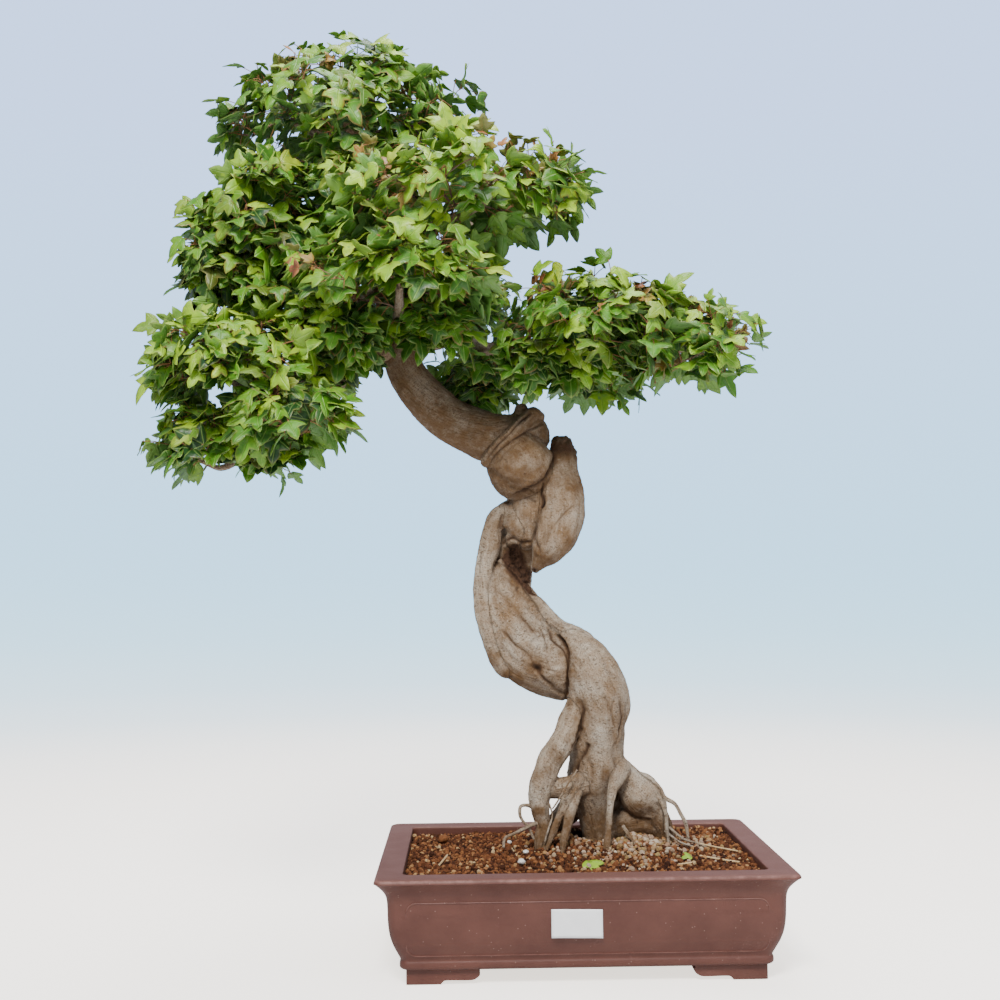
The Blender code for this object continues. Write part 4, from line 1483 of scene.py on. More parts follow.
PADS = tuple(Pad(*row) for row in (
    ("apex_leaves", 67, 0.07, 0.40, 0.06, 1.06, 0.010, (0.014, 0.0, 0.0)),
    ("upper_left_leaves", 26, 0.03, 0.42, 0.10, 1.0, 0.010, (0.022, 0.0, -0.006)),
    ("upper_back_leaves", 22),
    ("upper_right_leaves", 17, 0.05),
    ("right_shelf_leaves", 57, 0.15, 0.58, 0.10, 0.98, 0.0, (-0.018, 0.0, 0.0), 0.74),
    ("middle_left_leaves", 26, 0.02, 0.40, 0.10, 1.0, 0.010, (0.014, 0.0, 0.0)),
    ("centre_leaves", 49, 0.03, 0.54, 0.16, 1.08),
    ("centre_back_leaves", 26),
    ("lower_left_leaves", 62, 0.02, 0.57, 0.18, 1.0, 0.018, (0.018, 0.0, 0.0)),
    ("left_drooping_leaves", 32, 0.0, 0.44, 0.22, 0.94, 0.050, (0.014, 0.0, 0.0)),
    ("left_inner_leaves", 20, 0.0, 0.38, 0.22, 1.1, 0.034),
    ("right_low_leaves", 50, 0.14, 0.50, 0.12, 1.06, 0.010, (0.004, 0.0, 0.0), 0.66),
    ("right_end_leaves", 29, 0.22, 0.48, 0.12, 1.18, 0.012, (-0.026, 0.0, 0.004)),
    ("right_back_leaves", 26, 0.05, 0.36, 0.16, 1.0, 0.0),
    ("under_right_leaves", 20, 0.0, 0.26),
))
FILLERS = tuple(Filler(*row) for row in (
    ("inner_top", 26, (-0.236, -0.030, 0.864), (0.070, 0.045, 0.040), 0.36),
    ("inner_left", 22, (-0.300, -0.034, 0.770), (0.062, 0.045, 0.036), 0.38),
    ("centre_low", 20, (-0.244, -0.050, 0.664), (0.058, 0.042, 0.028), 0.38),
    ("right_under", 22, (-0.012, -0.034, 0.646), (0.088, 0.046, 0.022), 0.34),
    ("right_join", 14, (0.095, -0.020, 0.672), (0.042, 0.050, 0.026), 0.44),
    ("left_notch", 16, (-0.350, -0.020, 0.732), (0.050, 0.045, 0.030), 0.42),
    ("left_fill", 18, (-0.262, -0.045, 0.672), (0.050, 0.045, 0.034), 0.40),
    ("left_side", 20, (-0.384, -0.010, 0.768), (0.030, 0.045, 0.056), 0.42),
    ("front_join", 14, (-0.148, -0.040, 0.680), (0.056, 0.036, 0.022), 0.44),
    ("right_hang", 12, (-0.096, 0.056, 0.640), (0.040, 0.036, 0.024), 0.30),
    ("left_low", 16, (-0.318, -0.060, 0.566), (0.045, 0.045, 0.034), 0.36),
))


class Skeleton:
    """A tree of points that twigs grow from."""

    def __init__(self, places: Points, directions: Points) -> None:
        """Starts from points on the branches."""
        self.places = list(places)
        self.directions = list(directions)
        self.parents = [-1] * len(places)
        self.runs: list[list[int]] = []

    def grow(self, tip: Points, heading: Points, rng: Random) -> list[int]:
        """Grows one twig to a tip from the nearest point.

        Args:
            tip: Where it ends.
            heading: Which way it points there.
            rng: Source of its kinks.

        Returns:
            Its points' numbers, from the start to the tip.
        """
        places = np.array(self.places)
        reach = np.linalg.norm(places - tip, axis=1)
        backwards = np.clip(-np.sum(unit(tip - places) * np.array(self.directions), axis=1), 0, 1)
        rise = np.clip(places[:, 2] - tip[2], 0, 1)
        start = int(np.argmin(reach * (1 + 0.6 * backwards) + 1.2 * rise + 0.012 * (reach < 0.018)))
        origin = places[start]
        gap = np.linalg.norm(tip - origin)
        share = np.linspace(0, 1, 9)[1:, None]
        first = origin + gap * 0.40 * unit(self.directions[start] * 0.7 + (tip - origin) / max(gap, 1e-6))
        second = tip - gap * 0.40 * heading
        path = ((1 - share) ** 3 * origin + 3 * (1 - share) ** 2 * share * first
                + 3 * (1 - share) * share**2 * second + share**3 * tip)
        path[:-1] += rng.normal(0, 0.018, (len(path) - 1, 3)) * gap * 0.35
        numbers = [start]
        steps = unit(np.diff(np.vstack([origin, path]), axis=0))
        for place, direction in zip(path, steps):
            self.parents.append(numbers[-1])
            numbers.append(len(self.places))
            self.places.append(place)
            self.directions.append(direction)
        self.runs.append(numbers)
        return numbers

    def loads(self) -> Points:
        """Returns how many twig tips each point carries."""
        load = np.zeros(len(self.places))
        for run in self.runs:
            load[run[-1]] += 1
        for number in range(len(self.places) - 1, -1, -1):
            parent = self.parents[number]
            if parent >= 0:
                load[parent] += load[number]
        return load


@dataclass
class Foliage:
    """All the clouds: twigs from the branches, leaf stalks and leaves."""

    leaf: Material
    twig: Material
    branch_points: Points
    branch_directions: Points
    pair_gap: float = 0.013
    blade_length: float = 0.0268
    tip_radius: float = 0.00055

    def leaf_rows(self, shoot: Shoot, path: Points) -> list[tuple]:
        """Sets the leaves of one shoot: pairs that turn a quarter from joint to joint, and a last leaf.

        Args:
            shoot: The shoot.
            path: The twig's last points.

        Returns:
            One row for each leaf: joint, base, tip direction, face direction, length, tone, young, scorch
            and shape.
        """
        rng = shoot.rng
        side = unit(np.cross(shoot.heading, UP) + rng.normal(0, 0.15, 3))
        other = unit(np.cross(side, shoot.heading))
        distance = lengths_along(path[::-1])
        rows = []
        joints = int(rng.integers(2, 4)) + (shoot.young < 0.5)
        turn = rng.uniform(0, math.pi)
        for joint in range(joints):
            back = joint * self.pair_gap * rng.uniform(0.85, 1.2)
            place = np.array([np.interp(back, distance, path[::-1, k]) for k in range(3)])
            turn += math.pi / 2 + rng.normal(0, 0.18)
            for sign in (1, -1):
                out = (side * math.cos(turn) + other * math.sin(turn)) * sign
                rows.append(self.one_leaf(shoot, place, out, joint))
        rows.append(self.one_leaf(shoot, path[-1], shoot.heading, 0))
        return rows

    def one_leaf(self, shoot: Shoot, joint: Points, out: Points, order: int) -> tuple:
        """Sets one leaf on its stalk.

        Args:
            shoot: The shoot.
            joint: Where the stalk starts.
            out: The stalk's way out from the shoot.
            order: How many joints back from the tip it is.

        Returns:
            The row that leaf_rows describes.
        """
        rng, climb, is_young = shoot.rng, shoot.climb, shoot.young > 0.5
        stalk = unit(0.5 * shoot.heading + 0.9 * out + 0.25 * shoot.outward + rng.normal(0, 0.14, 3))
        reach = rng.uniform(0.011, 0.024) * (0.75 if is_young else 1.0)
        base = joint + stalk * reach + (0, 0, -0.10 * reach)
        level = shoot.outward * (1, 1, 0)
        if is_young:
            face = unit(0.8 * out + 0.5 * UP + rng.normal(0, 0.25, 3))
            tip = unit(0.6 * stalk + 0.45 * UP + rng.normal(0, 0.2, 3))
        else:
            face = unit(0.62 * level + 0.70 * UP + rng.normal(0, 0.42, 3))
            sag = 0.48 - 0.42 * max(climb, 0.0)
            tip = unit(0.75 * stalk + 0.40 * level - sag * UP + rng.normal(0, 0.38, 3))
        length = self.blade_length * rng.normal(1.0, 0.17) * (0.70 if is_young else 1.0)
        length *= 1.0 if order else 0.86
        # Painted light: the climb term lightens leaves high on the dome, as lit from above.
        tone = shoot.pad.tone - 0.02 + 0.32 * climb + rng.normal(0, 0.21) + 0.10 * (order == 0) - 0.05 * order
        scorch = rng.uniform(0.7, 1.0) if rng.random() < 0.07 else rng.uniform(0.0, 0.22)
        shape = (rng.uniform(0.04, 0.34), rng.normal(0.16, 0.10), rng.normal(0.22, 0.12), rng.random())
        fresh = rng.uniform(0.55, 1.0) if is_young else 0.18 * max(0.0, rng.normal(0, 0.5)) * (order == 0)
        return (joint, base, tip, face, float(np.clip(length, 0.014, 0.040)), float(np.clip(tone, 0, 1)),
                float(np.clip(fresh, 0, 1)), float(scorch), shape)

    def grow_pad(self, pad: Pad | Filler, rng: Random) -> int:
        """Makes one cloud's twigs and leaves.

        Args:
            pad: The cloud, or a filler.
            rng: Source of its variation.

        Returns:
            How many leaves it has.
        """
        places, outward, climb = pad.tips(rng)
        low, high = pad.box()
        middle = (low + high) / 2
        reach = np.linalg.norm((self.branch_points - middle) / (high - low), axis=1)
        near = np.argsort(reach)[:max(14, int(np.sum(reach < 0.62)))]
        skeleton = Skeleton(self.branch_points[near], self.branch_directions[near])
        closeness = np.linalg.norm(places[:, None] - self.branch_points[near][None], axis=2).min(axis=1)
        rows = []
        for k in np.argsort(closeness):
            heading = unit(outward[k] * (1, 1, 0.7) + (0, 0, 0.30 - pad.drop * 1.6) + rng.normal(0, 0.2, 3))
            run = skeleton.grow(places[k], heading, rng)
            path = np.array([skeleton.places[number] for number in run])
            young = float(rng.random() < pad.young * (2.2 if climb[k] > 0.45 else 0.35))
            shoot = Shoot(pad, unit(path[-1] - path[-3]), outward[k], float(climb[k]), young, rng)
            rows += self.leaf_rows(shoot, path)
        self.twigs(pad, skeleton, rows)
        joint, base, tip, face, length, tone, young, scorch, shape = (np.array(c, float) for c in zip(*rows))
        batch = Batch()
        add_leaves(batch, LeafPlan(base, tip, face, length, tone, young, scorch, shape))
        install(batch.build(pad.name + "_foliage", self.leaf), "leaf", *pad.nodes)
        return len(rows)

    def twigs(self, pad: Pad | Filler, skeleton: Skeleton, rows: list[tuple]) -> None:
        """Makes one cloud's twigs and leaf stalks.

        Args:
            pad: The cloud.
            skeleton: Its grown tree.
            rows: Its leaves.
        """
        batch = Batch()
        loads = skeleton.loads()
        radii = self.tip_radius * np.maximum(loads, 1) ** 0.40
        for run in skeleton.runs:
            path = np.array([skeleton.places[number] for number in run])
            size = radii[run].copy()
            size[0] = size[1]
            youth = np.clip(0.55 - 0.20 * (loads[run] - 1) - np.linspace(0.5, 0, len(run)), 0, 1)
            batch.add(tube(path, size, 5), youth=np.repeat(youth, 5))
        for joint, base, tip, face, length, *_ in rows:
            sag = (joint + base) / 2 + (0, 0, 0.0012)
            end = base + unit(np.array(tip)) * length * 0.05
            path = through([tuple(joint), tuple(sag), tuple(end)], 2)
            batch.add(tube(path, np.linspace(0.00052, 0.00042, len(path)), 4), youth=0.9)
        install(batch.build(pad.name + "_twigs", self.twig), "bark", *pad.nodes)

    def build(self) -> None:
        """Makes every cloud."""
        total = 0
        for number, pad in enumerate((*PADS, *FILLERS)):
            total += self.grow_pad(pad, np.random.default_rng(200 + number))
        LOG.info("foliage: %d leaves", total)


# ---- trunk

Stations = tuple[tuple[float, float, float, float], ...]


def metres(table: Any) -> Any:
    """Turns a nested table of millimetres into metres."""
    if isinstance(table, dict):
        return {name: metres(part) for name, part in table.items()}
    return tuple(metres(part) for part in table) if isinstance(table, tuple) else table / 1000


# Heavy limbs, each a run of (x, y, z, radius) in millimetres
LIMBS: dict[str, Stations] = metres({
    "leg": (
        (32, 50, 72, 24), (31, 50, 88, 22), (29, 50, 99, 19), (28, 50, 116, 18.5), (26, 48, 137, 20),
        (24, 46, 156, 24.9), (24, 45, 177, 30), (27, 44, 196, 30.5), (28, 43, 218, 30.5),
        (28, 41, 238, 31.6), (31, 40, 260, 33.8), (28, 39, 280, 33.2), (21, 39, 303, 27),
        (10, 41, 321, 19.2), (-3, 45, 332, 13.6)),
    "middle": (
        (30, 64, 272, 25.2), (11, 62, 288, 32), (-8, 60, 297, 37.7), (-27, 58, 306, 39.9),
        (-46, 56, 318, 39.9), (-57, 54, 334, 37.6), (-66, 52, 354, 34.1), (-74, 51, 373, 29.5),
        (-77, 52, 391, 27.3), (-79, 60, 409, 20.6), (-75, 64, 430, 18.3), (-63, 62, 450, 18.3),
        (-46, 58, 471, 17.1)),
    "crest": (
        (16, 46, 329, 10.2), (2, 46, 337, 10.2), (-15, 46, 344, 10.2), (-31, 46, 361, 10.2),
        (-44, 46, 378, 9.1), (-57, 43, 394, 9), (-68, 42, 407, 7.9), (-76, 44, 418, 5.7)),
    "column": (
        (-73, 46, 303, 14.7), (-85, 44, 331, 14.7), (-94, 42, 359, 14.1), (-97, 41, 381, 13),
        (-97, 40, 400, 11.8), (-95, 40, 420, 11.6), (-91, 40, 438, 11.8), (-88, 40, 453, 10.9),
        (-82, 40, 468, 10.9), (-71, 39, 477, 9.6), (-55, 38, 486, 9.6), (-39, 36, 494, 9)),
    "belly": (
        (-63, 36, 478, 12.4), (-57, 36, 466, 18), (-56, 36, 455, 18.6), (-60, 37, 445, 12.4)),
    "front": (
        (-8, 34, 547, 12.8), (-7, 32, 536, 15.2), (-8, 28, 521, 17.6), (-8, 24, 499, 22.3),
        (-8, 21, 480, 24.5), (-12, 20, 463, 25), (-19, 20, 444, 22.8), (-27, 22, 430, 17.8),
        (-34, 25, 420, 11.2), (-40, 28, 410, 6.2)),
    "ball": (
        (-64, 30, 544, 26.9), (-59, 24, 534, 33.5), (-56, 22, 525, 37.3), (-59, 26, 518, 31.3)),
    "ball_core": (
        (-58, 34, 552, 22), (-50, 32, 520, 27), (-42, 34, 496, 24), (-44, 36, 474, 24), (-48, 38, 452, 20)),
    "front_core": (
        (-20, 34, 520, 18), (-26, 32, 495, 21), (-30, 32, 470, 20), (-34, 32, 448, 15)),
    "collar": (
        (-93, 12, 530, 7.8), (-75, 2, 548, 8.8), (-58, 4, 566, 8.8), (-43, 16, 582, 7.8),
        (-33, 22, 580, 6.7)),
    "knob": (
        (-56, 28, 570, 11), (-56, 28, 578, 9), (-54, 28, 589, 8)),
    "upper": (
        (-46, 32, 560, 24.7), (-69, 31, 558, 26.9), (-89, 31, 558, 28), (-111, 31, 567, 26.9),
        (-132, 30, 578, 25.2), (-153, 30, 595, 24.1), (-171, 30, 615, 23), (-183, 30, 634, 21.3),
        (-188, 30, 654, 20.2), (-192, 30, 675, 19), (-201, 30, 716, 16.5), (-216, 30, 772, 14.5),
        (-231, 30, 830, 12), (-240, 30, 887, 9.8), (-248, 30, 940, 7), (-252, 30, 972, 4.8)),
    "arch": (
        (30, 50, 302, 12), (18, 44, 278, 13), (9, 36, 260, 13.8), (1, 27, 245, 14), (-7, 19, 231, 13.8),
        (-16, 14, 215, 13.9), (-26, 13, 200, 13.8), (-32, 12, 186, 13.3), (-37, 11, 171, 13.3),
        (-39, 10, 158, 11.6), (-38, 8, 143, 8.8), (-36, 6, 129, 7.5), (-38, 4, 114, 7.7), (-40, 2, 98, 6.6),
        (-41, 1, 86, 6)),
    "bridge": (
        (-37, 11, 171, 10.5), (-24, 14, 169, 11.1), (-9, 18, 170, 11.7), (7, 26, 171, 13.4)),
    "root_a1": (
        (2, 18, 177, 9), (-7, 12, 163, 6.6), (-15, 6, 147, 4.8), (-23, 1, 130, 4.2), (-31, -4, 113, 4),
        (-37, -8, 100, 3.6), (-40, -11, 88, 3.4)),
    "root_a2": (
        (4, 20, 170, 8), (-1, 12, 157, 5.8), (-6, 4, 143, 4.7), (-10, -2, 128, 4.2), (-14, -6, 113, 4),
        (-18, -10, 98, 3.6), (-20, -12, 86, 3.4)),
    "root_b": (
        (54, 26, 188, 8.9), (48, 16, 179, 7.8), (42, 10, 170, 6.2), (39, 6, 159, 4.6), (37, 1, 144, 4),
        (35, -5, 125, 3.7), (32, -11, 106, 3.6), (29, -15, 88, 3)),
    "root_c": (
        (50, 40, 187, 14.7), (63, 38, 171, 16.9), (74, 36, 156, 21.9), (83, 36, 148, 20.8),
        (92, 34, 138, 14.6), (100, 30, 123, 10), (104, 28, 104, 8), (106, 26, 90, 7)),
    "root_c_upper": (
        (51, 40, 195, 7.9), (64, 36, 181, 6.7), (81, 34, 174, 6.2), (93, 32, 163, 5.6), (99, 28, 150, 4.7),
        (100, 24, 137, 4.2), (102, 20, 119, 3.8), (104, 18, 96, 3.4)),
    "root_c_low": (
        (44, 46, 116, 13), (60, 44, 124, 16), (78, 42, 126, 17), (93, 40, 120, 14), (100, 36, 108, 10)),
    "root_c_foot": (
        (66, 50, 124, 15), (70, 52, 106, 14), (74, 52, 90, 12)),
    "hollow_wall": (
        (-63, 64, 366, 20), (-61, 68, 390, 20), (-59, 68, 415, 21), (-55, 62, 442, 23), (-46, 56, 468, 22)),
    "back_left": (
        (10, 60, 150, 18), (-12, 78, 124, 12.5), (-30, 90, 100, 8), (-40, 96, 86, 7)),
    "back_right": (
        (44, 62, 150, 18), (60, 84, 126, 12.5), (74, 98, 100, 8), (80, 104, 86, 7)),
})

# Branches under the leaves, each a run of (x, y, z, radius) in millimetres
BRANCHES: dict[str, Stations] = metres({
    "low_left": (
        (-188, 28, 655, 14), (-192, 26, 663, 13.4), (-205, 18, 654, 10), (-222, 8, 647, 8.3),
        (-237, 0, 641, 7.1), (-248, -8, 626, 7.1), (-258, -15, 609, 7.1), (-272, -20, 596, 6.5),
        (-295, -25, 586, 5.4), (-340, -26, 598, 4.5), (-376, -26, 620, 3.5)),
    "droop_left": (
        (-270, -18, 602, 6), (-300, -24, 580, 5), (-340, -28, 548, 4.5), (-376, -30, 522, 3.8),
        (-400, -30, 530, 3.4)),
    "right": (
        (-188, 30, 645, 12), (-168, 28, 660, 10), (-138, 20, 668, 9), (-95, 8, 656, 8), (-45, 10, 650, 7),
        (10, 16, 654, 6), (60, 12, 656, 5.2), (105, 6, 650, 4.6), (145, 0, 658, 3.6)),
    "right_riser": (
        (0, 12, 652, 5.6), (14, -10, 672, 4.5), (20, -20, 692, 3.4)),
    "right_back": (
        (-20, 12, 650, 5.8), (6, 60, 640, 5), (28, 120, 638, 4.2), (34, 140, 652, 3.4)),
    "under_right": (
        (-186, 34, 625, 10), (-160, 70, 618, 7), (-118, 108, 606, 5.5), (-100, 116, 620, 4)),
    "centre_front": (
        (-196, 26, 690, 10), (-192, -10, 690, 7), (-186, -56, 682, 5.5), (-184, -88, 705, 4)),
    "centre_back": (
        (-198, 34, 700, 10), (-182, 80, 698, 7), (-156, 126, 700, 5.5), (-142, 148, 722, 4)),
    "middle_left": (
        (-206, 30, 726, 10), (-248, 36, 712, 7), (-300, 46, 702, 5.8), (-342, 56, 712, 4.5),
        (-356, 58, 730, 3.6)),
    "shelf_right": (
        (-214, 28, 760, 10), (-200, -10, 776, 7.5), (-160, -56, 776, 6.2), (-110, -84, 786, 5),
        (-80, -90, 808, 3.8)),
    "upper_left": (
        (-220, 30, 785, 9), (-262, 18, 788, 6.5), (-310, 6, 790, 5.2), (-346, 2, 812, 3.8)),
    "upper_back": (
        (-222, 32, 795, 9), (-216, 70, 800, 6.5), (-206, 120, 804, 5.2), (-200, 154, 824, 3.8)),
    "upper_right": (
        (-230, 32, 830, 8.5), (-190, 50, 826, 6), (-120, 68, 812, 5), (-56, 76, 826, 3.8)),
    "top_left": (
        (-238, 30, 872, 8), (-270, 22, 896, 5.5), (-310, 14, 916, 4)),
    "top_right": (
        (-240, 30, 884, 7.8), (-212, 34, 906, 5.2), (-182, 38, 924, 3.8)),
})

# Thin roots at the trunk's foot, each a run of (x, y, z, radius) in millimetres
FINE_ROOTS: tuple[Stations, ...] = metres((
    ((91, 34, 165, 3.6), (102, 30, 154, 2.7), (112, 26, 148, 2.2), (118, 22, 137, 2.1), (122, 16, 128, 2),
     (124, 12, 112, 1.6)),
    ((90, 26, 162, 3.4), (96, 18, 151, 2.7), (100, 12, 139, 2.2), (100, 8, 126, 2.1), (101, 5, 110, 1.6)),
    ((-42, 10, 149, 3.2), (-53, 8, 152, 2.2), (-60, 6, 151, 2), (-61, 4, 143, 1.9), (-58, 4, 136, 1.8),
     (-51, 4, 128, 1.7), (-46, 2, 116, 1.5)),
    ((-41, 4, 134, 2.8), (-47, 4, 132, 2.4), (-57, -4, 129, 2), (-69, -12, 125, 1.6), (-78, -20, 122, 1.5),
     (-80, -30, 114, 1.3)),
    ((2, 0, 191, 1.1), (-10, -4, 174, 0.9), (-21, -6, 157, 0.9), (-26, -6, 150, 0.8)),
    ((-29, 0, 155, 0.9), (-26, -2, 142, 1), (-30, -6, 130, 1), (-35, -10, 115, 0.9)),
    ((98, 10, 122, 1.4), (112, 0, 112, 1.2), (126, -2, 107, 1.1), (138, 6, 104, 1)),
    ((104, 18, 124, 1.6), (118, 10, 113, 1.3), (132, 12, 108, 1.1), (146, 4, 103, 1)),
    ((52, 10, 128, 2), (60, 0, 116, 1.6), (66, -10, 108, 1.4), (68, -20, 103, 1.2)),
))


@dataclass(frozen=True)
class Stroke:
    """A groove or a ridge drawn on the trunk's front: its run (x, z), depth, width, and darkness, which sets
    the painted shade down the groove and the stain about it.
    """

    run: tuple[tuple[float, float], ...]
    depth: float
    width: float
    dark: float


STROKES = tuple(Stroke(metres(run), depth / 1000, width / 1000, dark) for run, depth, width, dark in (
    (((-14, 336), (-8, 326), (-4, 307), (-5, 285), (-6, 259)), 3.8, 1.7, 1),
    (((-82, 385), (-73, 376), (-59, 360), (-46, 344), (-42, 340)), 1.6, 1.5, 0.6),
    (((-76, 340), (-65, 328), (-51, 317), (-42, 304), (-39, 297)), 1.8, 1.6, 0.6),
    (((-41, 301), (-37, 299)), 4.2, 3.6, 1),
    (((-39, 297), (-26, 283), (-14, 273), (-4, 269)), 2.2, 1.8, 0.7),
    (((-26, 344), (-21, 331), (-11, 320), (-6, 308)), 2, 1.5, 0.7),
    (((-34, 344), (-30, 331), (-27, 318)), 1.4, 1.3, 0.5),
    (((-41, 324), (-44, 311), (-41, 300)), -2.2, 2.4, 0),
    (((-46, 334), (-36, 336), (-31, 326), (-36, 316)), -2, 2.2, 0),
    (((-41, 338), (-38, 341), (-35, 338), (-38, 335), (-41, 338)), 1, 1.1, 0.5),
    (((8, 262), (10, 248), (7, 235), (2, 222), (-2, 215)), 3.2, 2.2, 0.8),
    (((15, 215), (12, 206), (7, 198), (2, 187)), 2.6, 2, 0.8),
    (((42, 287), (45, 272), (41, 255), (44, 238)), 1.2, 1.4, 0.4),
    (((34, 268), (37, 262), (36, 256), (40, 252)), 1.2, 1.2, 0.6),
    (((51, 262), (54, 250), (52, 236), (49, 222)), 1.6, 1.6, 0.6),
    (((47, 221), (44, 203), (47, 190)), 1.4, 1.6, 0.5),
    (((16, 200), (20, 185), (18, 165)), 1.2, 1.6, 0.4),
    (((-93, 535), (-76, 552), (-61, 567), (-45, 582)), 2.2, 1.4, 0.7),
    (((-88, 531), (-70, 547), (-52, 560), (-42, 567), (-31, 574)), 1.8, 1.3, 0.6),
    (((-82, 528), (-70, 540), (-56, 552)), 1, 1.2, 0.4),
    (((-69, 486), (-62, 492), (-47, 499), (-32, 508), (-25, 516), (-19, 534)), 4, 2.4, 1),
    (((-30, 504), (-31, 493), (-32, 479)), 3, 1.8, 1),
    (((-60, 494), (-48, 490), (-40, 486)), 1.4, 1.4, 0.6),
    (((2, 479), (-11, 467), (-26, 450), (-37, 434)), 1.2, 1.3, 0.5),
    (((-12, 520), (-6, 508), (2, 498)), 1, 1.2, 0.4),
    (((-76, 470), (-80, 450), (-79, 427), (-84, 419), (-86, 399), (-84, 380)), 1.8, 1.8, 0.6),
    (((-33, 475), (-40, 456), (-42, 444), (-36, 430)), 2.4, 2, 0.7),
    (((-74, 440), (-66, 444), (-56, 440), (-46, 442)), 2, 2, 0.8),
    (((-80, 404), (-70, 396), (-58, 384), (-46, 372)), 1.6, 1.8, 0.6),
    (((-84, 372), (-66, 362), (-54, 352)), 1, 1.2, 0.4),
))

# Hollow between the column and the crest, carved in and darkened with painted shade, as an outline (x, z)
HOLLOW = metres(((-78, 424), (-70, 437), (-58, 438), (-50, 424), (-46, 412), (-30, 404), (-30, 380),
                 (-47, 380), (-62, 396), (-73, 408)))
HOLLOW_MIDDLE = metres((-52, 412))
CREST_SCAR = metres(((-72, 406), (-58, 390), (-44, 372), (-30, 354), (-12, 340)))
SWELLINGS = ((-.067, .353, .015, .0022), (-.019, .296, .016, .0026), (-.056, .528, .018, .0020))


def gap_to_run(points: Points, run: Points) -> Points:
    """Measures how far points are from a run of straight pieces.

    Args:
        points: Points, any number of axes.
        run: The run's corners.

    Returns:
        The smallest distance of each point.
    """
    best = np.full(len(points), np.inf)
    for start, end in zip(run, run[1:]):
        step = end - start
        share = np.clip((points - start) @ step / max(step @ step, 1e-12), 0, 1)
        best = np.minimum(best, np.linalg.norm(points - start - share[:, None] * step, axis=1))
    return best


def inside_outline(points: Points, outline: Points) -> Points:
    """Tells which points (x, z) lie in an outline.

    Args:
        points: The points.
        outline: The outline's corners.

    Returns:
        True for each point inside.
    """
    hit = np.zeros(len(points), bool)
    for (x0, z0), (x1, z1) in zip(outline, np.roll(outline, -1, axis=0)):
        spans = (z0 > points[:, 1]) != (z1 > points[:, 1])
        cross = x0 + (points[:, 1] - z0) / (z1 - z0 if z1 != z0 else 1e-9) * (x1 - x0)
        hit ^= spans & (points[:, 0] < cross)
    return hit


